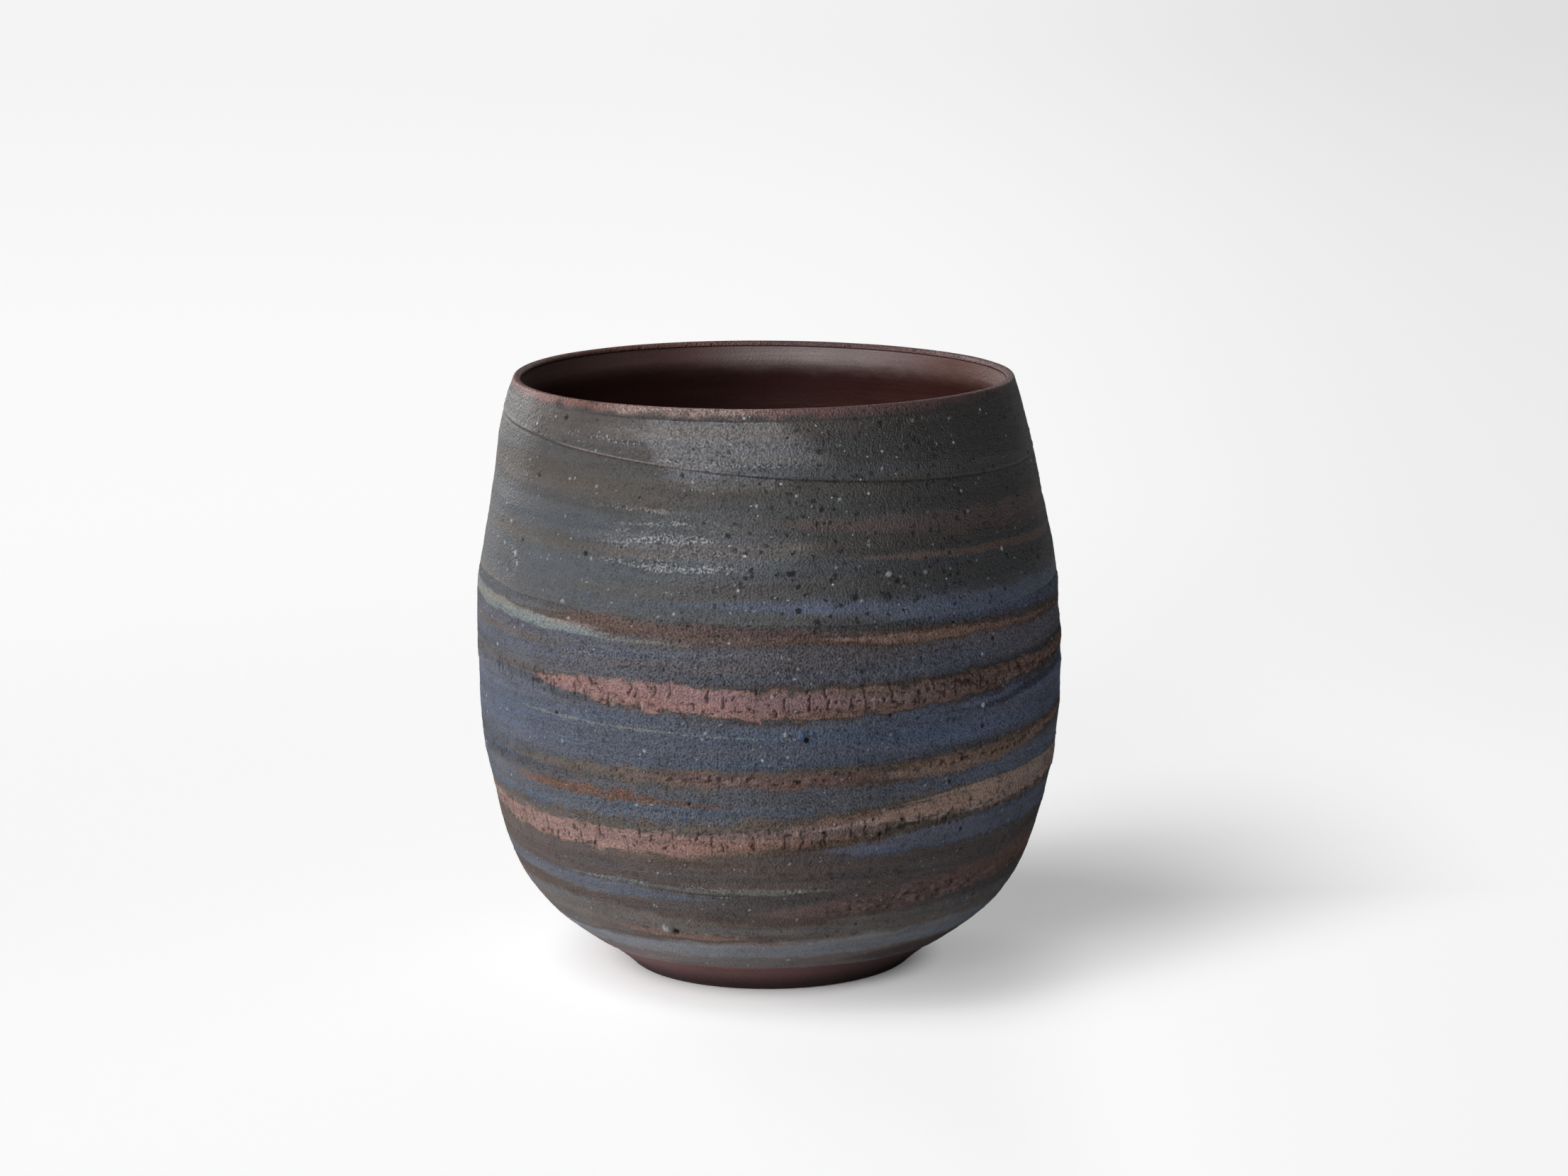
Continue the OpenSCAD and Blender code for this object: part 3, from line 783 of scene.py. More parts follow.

# streaks pulled round the cup by the turning, and a few of painted sheen and shade: angle from the front,
# height, half width
marblingAndPaintedLight = [
    # darkens the upper left of the cup
    {"tint": "darkerUpperLeft", "soft": 4.0, "ragged": 0.3, "strength": 0.25,
     "run": [(-120, 60.0, 0), (-84, 60.0, 14.0), (-64, 60.0, 13.0), (-52, 60.0, 6.0), (-43, 60.0, 0)]},
    # painted sheen on the grains at the upper front, where the light is reflected
    {"tint": "paintedSheen", "soft": 3.2, "ragged": 0.3, "strength": 0.72, "onGrains": 0.4,
     "run": [(-46, 66.4, 0), (-28, 66.6, 2.4), (-14, 65.4, 5.6), (-4, 65.4, 5.4), (6, 64.6, 3.4),
             (19, 62.6, 0)]},
    # a weaker painted sheen on the grains lower on the front
    {"tint": "paintedSheen", "soft": 3.0, "ragged": 0.5, "strength": 0.36, "onGrains": 0.5,
     "run": [(-50, 55.0, 0), (-28, 55.0, 3.4), (-14, 54.8, 4.8), (0, 54.4, 3.6), (14, 54.0, 0)]},
    # three streaks of pale scratches on the grains, partly real scratches and partly painted sheen
    {"tint": "scratchesAndSheen", "soft": 0.3, "ragged": 1.2, "strength": 0.75, "onGrains": 1.0,
     "run": [(-38, 56.6, 0), (-28, 56.7, 0.3), (-18, 56.9, 0.35), (-9, 57.1, 0)]},
    {"tint": "scratchesAndSheen", "soft": 0.3, "ragged": 1.2, "strength": 0.9, "onGrains": 1.0,
     "run": [(-35, 54.4, 0), (-27, 54.8, 0.45), (-17, 55.2, 0.55), (-8, 55.0, 0)]},
    {"tint": "scratchesAndSheen", "soft": 0.3, "ragged": 1.2, "strength": 0.9, "onGrains": 1.0,
     "run": [(-32, 52.3, 0), (-23, 52.1, 0.45), (-14, 51.9, 0.55), (-4, 52.3, 0)]},
    {"tint": "palePink", "soft": 0.25, "ragged": 1.2, "strength": 0.8, "onGrains": 0.8,
     "run": [(-34, 58.7, 0), (-29, 58.6, 0.3), (-23, 58.4, 0.35), (-19, 58.2, 0)]},
    {"tint": "olive", "soft": 0.8, "ragged": 0.5, "strength": 0.7,
     "run": [(-120, 61.5, 0), (-85, 61.0, 0.8), (-60, 60.2, 1.3), (-35, 59.6, 1.4), (-15, 59.2, 0.6),
             (-4, 59.0, 0)]},
    {"tint": "blueGrey", "soft": 0.8, "ragged": 0.5, "strength": 0.6,
     "run": [(-15, 62.9, 0), (10, 62.5, 1.0), (40, 61.6, 1.4), (75, 60.6, 1.2), (110, 59.8, 0.8),
             (135, 59.5, 0)]},
    {"tint": "blueGrey", "soft": 0.8, "ragged": 0.5, "strength": 0.7,
     "run": [(-130, 58.5, 0), (-80, 57.8, 1.2), (-55, 57.0, 1.6), (-35, 56.4, 1.1), (-18, 56.0, 0)]},
    {"tint": "redBrown", "soft": 0.7, "ragged": 0.6, "strength": 0.75,
     "run": [(-4, 57.1, 0), (15, 56.6, 1.1), (40, 56.0, 1.6), (70, 55.2, 1.7), (100, 54.4, 1.4),
             (140, 54.0, 0.5), (165, 54.0, 0)]},
    {"tint": "olive", "soft": 0.7, "ragged": 0.5, "strength": 0.65,
     "run": [(-130, 55.0, 0), (-85, 54.6, 1.1), (-55, 54.2, 1.2), (-25, 53.8, 0.6), (-5, 53.6, 0)]},
    {"tint": "orangeBrown", "soft": 0.5, "ragged": 0.5, "strength": 0.8,
     "run": [(10, 53.0, 0), (30, 52.6, 0.6), (55, 52.2, 0.7), (85, 51.9, 0.65), (120, 51.6, 0.4),
             (145, 51.5, 0)]},
    {"tint": "rightBlue", "soft": 1.5, "ragged": 0.4, "strength": 0.7,
     "run": [(-40, 48.6, 0), (15, 47.7, 1.5), (45, 46.6, 2.3), (80, 46.2, 2.3), (120, 46.4, 1.2),
             (165, 46.8, 0)]},
    {"tint": "rust", "soft": 1.1, "ragged": 0.4, "strength": 1.0,
     "run": [(-180, 44.9, 0.9), (-130, 45.7, 0.9), (-95, 46.3, 0.3), (-75, 46.4, 0.0), (-62, 46.4, 0),
             (-45, 45.9, 0.7), (-30, 45.4, 1.4), (0, 44.7, 1.5), (20, 44.2, 1.4), (45, 43.9, 1.3),
             (75, 43.5, 1.2), (110, 43.4, 1.0), (150, 44.1, 0.8), (180, 44.9, 0.9)]},
    {"tint": "paleRust", "soft": 0.5, "ragged": 0.8, "strength": 0.85,
     "run": [(5, 44.5, 0), (18, 44.2, 0.5), (32, 43.9, 0.8), (45, 43.8, 0.7), (62, 43.6, 0.45),
             (85, 43.4, 0)]},
    {"tint": "darkBlue", "soft": 0.9, "ragged": 0.4, "strength": 0.9,
     "run": [(-135, 46.8, 0), (-95, 46.9, 1.2), (-70, 46.8, 1.3), (-56, 46.5, 1.1), (-42, 46.2, 0.4),
             (-34, 46.0, 0)]},
    {"tint": "pale", "soft": 0.35, "ragged": 0.35, "strength": 0.95,
     "run": [(-110, 46.6, 0), (-92, 46.2, 0.7), (-75, 45.7, 0.95), (-60, 45.2, 0.95), (-45, 44.6, 0.8),
             (-30, 44.0, 0.4), (-18, 43.7, 0.15), (-10, 43.5, 0)]},
    {"tint": "paleOlive", "soft": 0.5, "ragged": 0.4, "strength": 0.8,
     "run": [(-40, 44.4, 0), (-30, 44.1, 0.5), (-18, 43.8, 0.4), (-6, 43.6, 0)]},
    {"tint": "palePink", "soft": 0.35, "ragged": 0.5, "strength": 0.55,
     "run": [(-50, 45.2, 0), (-43, 45.0, 0.45), (-37, 44.9, 0.4), (-31, 44.7, 0)]},
    {"tint": "umber", "soft": 0.25, "ragged": 0.6, "strength": 0.6,
     "run": [(-100, 43.8, 0), (-75, 42.9, 0.35), (-50, 42.5, 0.4), (-36, 42.4, 0)]},
    {"tint": "darkBrown", "soft": 0.8, "ragged": 0.5, "strength": 0.7,
     "run": [(-180, 39.0, 1.3), (-140, 38.7, 1.1), (-105, 38.9, 0.2), (-75, 39.3, 0.25),
             (-56, 39.0, 0.5), (-40, 38.4, 1.4), (-20, 37.7, 2.2), (0, 37.3, 2.5), (20, 37.4, 2.4),
             (40, 37.7, 2.2), (60, 38.2, 1.8), (75, 38.7, 1.5), (95, 39.2, 1.2), (130, 39.4, 1.2),
             (180, 39.0, 1.3)]},
    {"tint": "roseBrown", "soft": 0.4, "ragged": 0.6, "strength": 0.9,
     "run": [(-180, 38.9, 0.9), (-140, 38.5, 0.7), (-110, 38.6, 0), (-54, 38.6, 0), (-48, 38.4, 0.6),
             (-40, 38.35, 1.2), (-20, 37.8, 1.8), (0, 37.2, 1.75), (20, 37.15, 1.65), (40, 37.6, 1.5),
             (60, 38.3, 1.15), (75, 38.8, 0.85), (95, 39.2, 0.65), (130, 39.3, 0.7), (180, 38.9, 0.9)]},
    {"tint": "rose", "soft": 0.45, "ragged": 0.7, "strength": 0.95,
     "run": [(-54, 38.6, 0), (-48, 38.4, 0.5), (-40, 38.3, 0.9), (-30, 38.1, 1.15), (-15, 37.5, 1.75),
             (0, 37.15, 1.6), (10, 37.2, 1.2), (24, 37.3, 0)]},
    {"tint": "leftBlue", "soft": 0.8, "ragged": 0.4, "strength": 0.8,
     "run": [(-130, 37.4, 0), (-90, 37.2, 1.5), (-65, 36.9, 1.6), (-52, 36.6, 1.1), (-40, 36.3, 0)]},
    {"tint": "shadowBrown", "soft": 0.6, "ragged": 0.6, "strength": 0.6,
     "run": [(22, 35.1, 0), (45, 34.9, 0.5), (60, 35.9, 0.8), (80, 36.6, 0.6), (100, 37.0, 0)]},
    {"tint": "pale", "soft": 0.16, "ragged": 1.5, "strength": 0.75,
     "run": [(-60, 34.6, 0), (-56, 34.6, 0.14), (-48, 34.45, 0.28), (-36, 34.2, 0.25), (-24, 34.0, 0.2),
             (-10, 33.7, 0.15), (4, 33.5, 0.12), (10, 33.4, 0)]},
    {"tint": "umber", "soft": 0.9, "ragged": 0.5, "strength": 0.95,
     "run": [(-180, 30.2, 1.0), (-150, 29.6, 0.8), (-115, 29.2, 0), (-68, 29.2, 0), (-60, 29.1, 0.6),
             (-40, 28.9, 1.1), (-20, 28.7, 1.4), (0, 28.65, 1.5), (20, 28.7, 1.65), (40, 29.4, 1.35),
             (60, 30.25, 1.2), (85, 31.0, 1.0), (120, 31.2, 0.9), (180, 30.2, 1.0)]},
    {"tint": "rosyUmber", "soft": 0.5, "ragged": 0.8, "strength": 0.9,
     "run": [(-34, 28.9, 0), (-15, 28.6, 0.9), (5, 28.5, 1.0), (20, 28.7, 0.7), (32, 29.0, 0)]},
    {"tint": "paleUmber", "soft": 0.5, "ragged": 0.8, "strength": 0.95,
     "run": [(18, 28.7, 0), (28, 28.8, 0.9), (40, 28.9, 1.4), (55, 29.6, 1.0), (75, 30.7, 0.5),
             (100, 31.0, 0)]},
    {"tint": "threadBrown", "soft": 0.35, "ragged": 1.2, "strength": 0.9,
     "run": [(-64, 26.8, 0), (-50, 26.4, 0.6), (-32, 26.1, 0.75), (-20, 25.7, 0.5), (-6, 25.3, 0.25),
             (2, 25.1, 0)]},
    {"tint": "umber", "soft": 0.7, "ragged": 0.6, "strength": 0.85,
     "run": [(-180, 23.8, 1.9), (-140, 22.9, 1.9), (-75, 22.0, 2.1), (-40, 21.2, 2.5), (-20, 21.0, 2.5),
             (0, 21.9, 2.4), (20, 23.2, 2.4), (40, 24.1, 2.3), (60, 24.6, 2.2), (80, 25.0, 2.1),
             (120, 25.0, 1.9), (180, 23.8, 1.9)]},
    {"tint": "roseBrown", "soft": 0.45, "ragged": 0.6, "strength": 0.9,
     "run": [(-45, 20.7, 0), (-20, 20.7, 1.4), (0, 21.7, 1.5), (15, 22.8, 1.5), (32, 23.7, 0)]},
    {"tint": "tan", "soft": 0.7, "ragged": 0.6, "strength": 0.95,
     "run": [(-2, 22.0, 0), (14, 22.9, 0.45), (26, 23.5, 1.1), (40, 24.1, 1.5), (60, 24.65, 1.5),
             (80, 25.0, 1.4), (120, 25.0, 1.2), (170, 24.0, 0)]},
    {"tint": "lowRose", "soft": 0.6, "ragged": 0.6, "strength": 0.95,
     "run": [(-170, 23.4, 0), (-140, 22.8, 1.1), (-100, 22.0, 1.1), (-75, 21.5, 1.25),
             (-40, 20.65, 1.6), (-18, 20.85, 1.35), (-5, 21.3, 0.7), (6, 21.9, 0)]},
    {"tint": "paleTan", "soft": 0.35, "ragged": 0.6, "strength": 0.85,
     "run": [(14, 24.2, 0), (30, 25.0, 0.2), (40, 25.5, 0.45), (60, 26.0, 0.5), (85, 26.2, 0.4),
             (115, 26.0, 0)]},
    {"tint": "paleBlue", "soft": 0.6, "ragged": 0.5, "strength": 0.85,
     "run": [(5, 19.9, 0), (20, 20.2, 1.0), (40, 20.7, 1.6), (60, 21.0, 1.8), (85, 21.4, 1.6),
             (120, 21.9, 1.1), (155, 22.2, 0)]},
    {"tint": "lowBlue", "soft": 0.7, "ragged": 0.5, "strength": 0.85,
     "run": [(-150, 16.5, 0), (-110, 16.0, 0.8), (-70, 15.2, 1.2), (-45, 14.6, 1.3), (-25, 14.4, 0.9),
             (-4, 14.3, 0)]},
    {"tint": "pale", "soft": 0.25, "ragged": 0.9, "strength": 0.6,
     "run": [(-52, 15.9, 0), (-35, 15.7, 0.35), (-15, 15.4, 0.4), (5, 15.3, 0.35), (16, 15.2, 0)]},
    {"tint": "pale", "soft": 0.18, "ragged": 0.9, "strength": 0.45,
     "run": [(-44, 15.0, 0), (-20, 14.8, 0.22), (2, 14.6, 0)]},
    {"tint": "lowGrey", "soft": 1.2, "ragged": 0.4, "strength": 0.85,
     "run": [(-170, 11.0, 0), (-120, 10.6, 2.6), (-60, 10.1, 3.0), (-40, 10.1, 2.7), (-20, 10.1, 1.9),
             (0, 10.0, 1.1), (14, 9.9, 0)]},
    {"tint": "lowRed", "soft": 0.9, "ragged": 0.6, "strength": 0.8,
     "run": [(-12, 12.3, 0), (15, 12.9, 1.5), (40, 14.2, 1.9), (70, 15.6, 2.0), (100, 16.3, 1.4),
             (145, 16.5, 0)]},
    {"tint": "lowGrey", "soft": 0.8, "ragged": 0.5, "strength": 0.8,
     "run": [(-8, 9.4, 0), (10, 9.8, 1.3), (40, 10.3, 1.8), (70, 10.6, 1.8), (110, 10.8, 1.2),
             (150, 10.6, 0)]},
    {"tint": "edgeRose", "soft": 0.25, "ragged": 0.7, "strength": 0.85,
     "run": [(-46, 9.4, 0), (-32, 9.1, 0.45), (-12, 8.9, 0.4), (0, 8.7, 0)]},
    {"tint": "edgeRose", "soft": 0.15, "ragged": 0.7, "strength": 0.7,
     "run": [(-9, 8.0, 0), (0, 7.9, 0.25), (11, 7.8, 0)]},
    {"tint": "greyBrown", "soft": 0.6, "ragged": 0.5, "strength": 0.8,
     "run": [(-180, 4.6, 1.1), (-60, 4.6, 1.2), (0, 4.7, 1.3), (60, 5.1, 1.6), (180, 4.6, 1.1)]},
    {"tint": "shadowBrown", "soft": 1.2, "ragged": 0.3, "strength": 0.45,
     "run": [(14, 4.6, 0), (40, 4.7, 1.7), (70, 4.9, 1.9), (120, 4.8, 1.2), (150, 4.8, 0)]},
]


# small helpers for node trees

def plug(tree, target, value):
    if isinstance(value, bpy.types.NodeSocket):
        tree.links.new(value, target)
    else:
        target.default_value = value


def maths(tree, operation, *values):
    node = tree.nodes.new("ShaderNodeMath")
    node.operation = operation
    for target, value in zip(node.inputs, values):
        plug(tree, target, value)
    return node.outputs[0]


def times(tree, first, second):
    return maths(tree, "MULTIPLY", first, second)


def timesPlus(tree, first, second, third):
    return maths(tree, "MULTIPLY_ADD", first, second, third)


def ease(tree, value, low, high):
    node = tree.nodes.new("ShaderNodeMapRange")
    node.interpolation_type = "SMOOTHSTEP"
    plug(tree, node.inputs["Value"], value)
    plug(tree, node.inputs["From Min"], low)
    plug(tree, node.inputs["From Max"], high)
    return node.outputs["Result"]


def blend(tree, factor, first, second, way="MIX"):
    node = tree.nodes.new("ShaderNodeMix")
    node.data_type = "RGBA"
    node.blend_type = way
    plug(tree, node.inputs[0], factor)
    plug(tree, node.inputs[6], first)
    plug(tree, node.inputs[7], second)
    return node.outputs[2]


def noiseAt(tree, point, size, detail=2.0):
    node = tree.nodes.new("ShaderNodeTexNoise")
    node.inputs["Scale"].default_value = 1.0 / size
    node.inputs["Detail"].default_value = detail
    tree.links.new(point, node.inputs["Vector"])
    return node.outputs["Fac"]


def vectorMaths(tree, operation, *values):
    node = tree.nodes.new("ShaderNodeVectorMath")
    node.operation = operation
    for target, value in zip(node.inputs, values):
        plug(tree, target, value)
    return node.outputs["Value" if operation in ("DOT_PRODUCT", "LENGTH") else "Vector"]


def stretched(tree, point, factors):
    return vectorMaths(tree, "MULTIPLY", point, factors)


def spotsAt(tree, point, size, low, high):
    # round specks of uneven size, one in some of the cells
    node = tree.nodes.new("ShaderNodeTexVoronoi")
    node.inputs["Scale"].default_value = 1.0 / size
    tree.links.new(point, node.inputs["Vector"])
    chance = tree.nodes.new("ShaderNodeSeparateColor")
    tree.links.new(node.outputs["Color"], chance.inputs[0])
    reach = times(tree, maths(tree, "POWER", chance.outputs[0], 2.0), 1.3 * high)
    near = maths(tree, "SUBTRACT", reach, node.outputs["Distance"])
    chosen = ease(tree, chance.outputs[1], low, low + 0.02)
    return times(tree, ease(tree, near, 0.0, 0.05), chosen)


def shaken(tree, point, size, reach):
    # bends a point to and fro so that round spots turn out uneven
    node = tree.nodes.new("ShaderNodeTexNoise")
    node.inputs["Scale"].default_value = 1.0 / size
    tree.links.new(point, node.inputs["Vector"])
    away = vectorMaths(tree, "SUBTRACT", node.outputs["Color"], (0.5, 0.5, 0.5))
    return vectorMaths(tree, "ADD", point, stretched(tree, away, (reach, reach, reach)))


def field(tree, name):
    node = tree.nodes.new("ShaderNodeAttribute")
    node.attribute_name = name
    return node.outputs["Fac"]


def newGroup(name, takes, gives):
    group = bpy.data.node_groups.new(name, "ShaderNodeTree")
    for label, kind, value in takes:
        socket = group.interface.new_socket(label, in_out="INPUT", socket_type="NodeSocket" + kind)
        if value is not None:
            socket.default_value = value
    for label, kind in gives:
        group.interface.new_socket(label, in_out="OUTPUT", socket_type="NodeSocket" + kind)
    start = group.nodes.new("NodeGroupInput").outputs
    end = group.nodes.new("NodeGroupOutput").inputs
    return group, start, end


def useGroup(tree, group, values):
    node = tree.nodes.new("ShaderNodeGroup")
    node.node_tree = group
    for label, value in values.items():
        plug(tree, node.inputs[label], value)
    return node.outputs


def cupPlaceGroup():
    # where a point lies on the cup, in millimetres and turns from the back
    group, start, end = newGroup("cupPlace", [], [
        ("Point", "Vector"), ("Turn", "Float"), ("Height", "Float"), ("Ragged", "Float"),
        ("Wander", "Float"), ("Grains", "Float"), ("Sandy", "Float"), ("Pitted", "Float")])
    where = group.nodes.new("ShaderNodeTexCoord")
    point = stretched(group, where.outputs["Object"], (1000.0, 1000.0, 1000.0))
    axes = group.nodes.new("ShaderNodeSeparateXYZ")
    group.links.new(point, axes.inputs[0])
    x, y, height = axes.outputs
    angle = maths(group, "ARCTAN2", x, times(group, y, -1.0))
    turn = timesPlus(group, angle, 0.5 / math.pi, 0.5)
    ragged = noiseAt(group, stretched(group, point, (0.45, 0.45, 1.0)), 1.1, 4.0)
    wander = noiseAt(group, stretched(group, point, (0.5, 0.5, 1.0)), 6.0, 2.0)
    coarse = ease(group, turn, 0.29, 0.44)      # the left of the front is smoother
    pitted = maths(group, "MAXIMUM", ease(group, turn, 0.41, 0.52), ease(group, turn, 0.25, 0.15))
    group.links.new(point, end["Point"])
    group.links.new(turn, end["Turn"])
    group.links.new(height, end["Height"])
    group.links.new(timesPlus(group, ragged, 4.0, -2.0), end["Ragged"])
    group.links.new(timesPlus(group, wander, 4.0, -2.0), end["Wander"])
    group.links.new(ease(group, noiseAt(group, point, 0.25, 3.0), 0.46, 0.62), end["Grains"])
    group.links.new(timesPlus(group, coarse, 0.6, 0.4), end["Sandy"])
    group.links.new(timesPlus(group, pitted, 0.9, 0.1), end["Pitted"])
    return group


def clayStreakGroup():
    # one clay drawn out over another, and streaks of painted sheen and shade, with torn soft edges and a
    # pointed end where the width is nought
    group, start, end = newGroup("clayAndLightStreak", [
        ("Color", "Color", None), ("Streak Color", "Color", None), ("Height", "Float", 0.0),
        ("Middle", "Float", 0.0), ("Half Width", "Float", 0.0), ("Softness", "Float", 0.4),
        ("Ragged", "Float", 0.0), ("Wander", "Float", 0.0), ("Raggedness", "Float", 0.5),
        ("Strength", "Float", 1.0), ("Grains", "Float", 1.0), ("On Grains", "Float", 0.0)],
        [("Color", "Color")])
    sway = times(group, start["Wander"], 0.25)
    away = maths(group, "SUBTRACT", maths(group, "SUBTRACT", start["Height"], start["Middle"]), sway)
    away = maths(group, "ABSOLUTE", away)
    torn = timesPlus(group, times(group, start["Ragged"], start["Raggedness"]), 0.6, 1.0)
    width = times(group, start["Half Width"], torn)
    depth = maths(group, "DIVIDE", maths(group, "SUBTRACT", width, away), start["Softness"])
    mask = times(group, ease(group, depth, 0.0, 1.0), start["Strength"])
    # some streaks only mark the grains that stand out
    between = times(group, start["On Grains"], maths(group, "SUBTRACT", 1.0, start["Grains"]))
    mask = times(group, mask, maths(group, "SUBTRACT", 1.0, between))
    group.links.new(blend(group, mask, start["Color"], start["Streak Color"]), end["Color"])
    return group


def claySeamGroup():
    # colours of two clays running into each other where they meet
    group, start, end = newGroup("claySeam", [
        ("Below", "Color", None), ("Above", "Color", None), ("Rise", "Float", 0.0), ("Ragged", "Float", 0.0),
        ("Softness", "Float", 0.4), ("Raggedness", "Float", 0.4)], [("Color", "Color")])
    torn = timesPlus(group, start["Ragged"], start["Raggedness"], start["Rise"])
    share = ease(group, maths(group, "DIVIDE", torn, start["Softness"]), -1.0, 1.0)
    group.links.new(blend(group, share, start["Below"], start["Above"]), end["Color"])
    return group


# marks of the fired surface, colour and strength: the dark gaps, holes, bursts, crumb gaps, cracks and pits
# are painted shade, and the pale feldspar is partly painted glint
firedMarks = {
    "gap": ("#221d1c", 0.22),
    "hole": ("#191716", 0.7),
    "fleck": ("#b6b5b2", 0.85),
    "burst": ("#121012", 0.92),
    "feldsparAndGlint": ("#f1f5fa", 0.9),
    "crumb": ("#b09a90", 0.45),
    "crumbGap": ("#2b211c", 0.6),
    "crack": ("#2a211d", 0.8),
    "pit": ("#141315", 0.9),
    "grain": ("#c6cbd1", 0.8),
    "blueGrain": ("#5f7fa6", 0.8),
}


def stained(tree, color, mask, mark):
    code, strength = firedMarks[mark]
    return blend(tree, times(tree, mask, strength), color, tint(code))


def strayed(tree, value, noise, amount, middle=0.5):
    # adds what a noise strays from its middle
    return timesPlus(tree, maths(tree, "SUBTRACT", noise, middle), amount, value)


def firedClayGroup():
    # mottle, specks, torn cracks, burst pits and feldspar grains of the fired surface, with painted shade in
    # its hollows, cracks and pits and painted glint on the feldspar
    group, start, end = newGroup("firedClay", [
        ("Color", "Color", None), ("Point", "Vector", None), ("Crack", "Float", 0.0), ("Pit", "Float", 0.0),
        ("Grain", "Float", 0.0), ("Blue Grain", "Float", 0.0), ("Hollow", "Float", 0.0),
        ("Mottle", "Float", 1.0), ("Crumb", "Float", 0.0), ("Drag", "Float", 0.0), ("Sand", "Float", 0.0),
        ("Pitting", "Float", 0.0), ("Lines", "Float", 0.4), ("Layers", "Float", 1.0),
        ("Roughness", "Float", 0.6)], [("Color", "Color"), ("Roughness", "Float"), ("Height", "Float")])
    point = start["Point"]
    broad = noiseAt(group, stretched(group, point, (0.5, 0.5, 1.0)), 2.6, 4.0)
    fine = noiseAt(group, point, 0.2, 2.0)
    lines = noiseAt(group, stretched(group, point, (0.05, 0.05, 1.0)), 0.42, 3.0)
    layers = noiseAt(group, stretched(group, point, (0.045, 0.045, 1.0)), 1.25, 3.0)
    sand = noiseAt(group, point, 0.25, 3.0)
    shade = strayed(group, 1.0, broad, 0.55)
    shade = strayed(group, shade, fine, 0.9)
    shade = strayed(group, shade, lines, 0.4)
    shade = strayed(group, shade, layers, 0.7)
    # painted light and shade on the sand: paler where it stands up, darker between
    sandShade = times(group, maths(group, "SUBTRACT", sand, 0.49), 1.5)
    shade = timesPlus(group, sandShade, start["Sand"], shade)
    shade = strayed(group, 1.0, shade, start["Mottle"], 1.0)
    # painted shade in the hollows between the pebbles
    shade = times(group, shade, timesPlus(group, start["Hollow"], -0.35, 1.0))
    grey = group.nodes.new("ShaderNodeCombineColor")
    for channel in range(3):
        group.links.new(shade, grey.inputs[channel])
    color = blend(group, 1.0, start["Color"], grey.outputs[0], "MULTIPLY")
    # thin layers of warmer and cooler clay run round the cup
    hues = noiseAt(group, stretched(group, point, (0.04, 0.04, 1.0)), 1.7, 3.0)
    warm = blend(group, ease(group, hues, 0.35, 0.65), (0.93, 1.0, 1.08, 1.0), (1.08, 1.0, 0.93, 1.0))
    color = blend(group, start["Layers"], color, blend(group, 1.0, color, warm, "MULTIPLY"))
    # sandy skin, with painted shade where it is hollow
    color = stained(group, color, times(group, ease(group, sand, 0.44, 0.3), start["Sand"]), "gap")
    speck = noiseAt(group, point, 0.26, 2.0)
    # painted shade in the holes of the drag marks, pale flecks on them
    color = stained(group, color, times(group, start["Drag"], ease(group, speck, 0.44, 0.36)), "hole")
    color = stained(group, color, times(group, start["Drag"], ease(group, speck, 0.53, 0.62)), "fleck")
    # burst pits of uneven shape, darkened with painted shade, and bright feldspar, partly painted glint
    shaky = shaken(group, point, 0.32, 0.6)
    small = spotsAt(group, shaky, 0.58, 0.4, 0.42)
    dark = maths(group, "MAXIMUM", small, spotsAt(group, shaky, 1.9, 0.45, 0.24))
    patches = ease(group, noiseAt(group, point, 4.5, 2.0), 0.34, 0.5)
    dark = times(group, dark, times(group, start["Pitting"], patches))
    pale = spotsAt(group, shaken(group, point, 0.3, 0.25), 0.8, 0.62, 0.2)
    pale = times(group, pale, start["Pitting"])
    large = spotsAt(group, shaken(group, point, 0.4, 0.3), 2.4, 0.82, 0.115)
    large = times(group, large, ease(group, start["Pitting"], 0.0, 0.02))
    pale = maths(group, "MAXIMUM", pale, large)
    color = stained(group, color, dark, "burst")
    color = stained(group, color, pale, "feldsparAndGlint")
    color = stained(group, color, ease(group, start["Crumb"], 0.1, 0.5), "crumb")
    # painted shade in the gaps between crumbs, in the cracks and in the pits
    color = stained(group, color, ease(group, start["Crumb"], -0.15, -0.5), "crumbGap")
    color = stained(group, color, start["Crack"], "crack")
    color = stained(group, color, start["Pit"], "pit")
    color = stained(group, color, start["Grain"], "grain")
    color = stained(group, color, start["Blue Grain"], "blueGrain")
    group.links.new(color, end["Color"])
    bright = maths(group, "MAXIMUM", start["Grain"], pale)
    glint = timesPlus(group, bright, -0.25, start["Roughness"])
    glint = strayed(group, glint, fine, 0.3)
    glint = timesPlus(group, start["Crack"], 0.2, glint)
    group.links.new(glint, end["Roughness"])
    grit = timesPlus(group, start["Sand"], 1.6, 0.7)
    height = timesPlus(group, sand, grit, times(group, fine, 0.8))
    height = timesPlus(group, times(group, speck, start["Drag"]), 2.0, height)
    height = timesPlus(group, lines, start["Lines"], height)
    height = timesPlus(group, dark, -1.6, height)
    height = timesPlus(group, pale, 0.4, height)
    group.links.new(height, end["Height"])
    return group


def runCurve(tree, turn, points, span):
    # a smooth line through given points, angle in degrees against a value from nought to span
    node = tree.nodes.new("ShaderNodeFloatCurve")
    curve = node.mapping.curves[0]
    spots = [((angle + 180.0) / 360.0, value / span) for angle, value in points]
    while len(curve.points) < len(spots):
        curve.points.new(0.5, 0.5)
    for knot, spot in zip(curve.points, sorted(spots)):
        knot.location = spot
        knot.handle_type = "AUTO_CLAMPED"
    node.mapping.update()
    tree.links.new(turn, node.inputs["Value"])
    return times(tree, node.outputs["Value"], span)


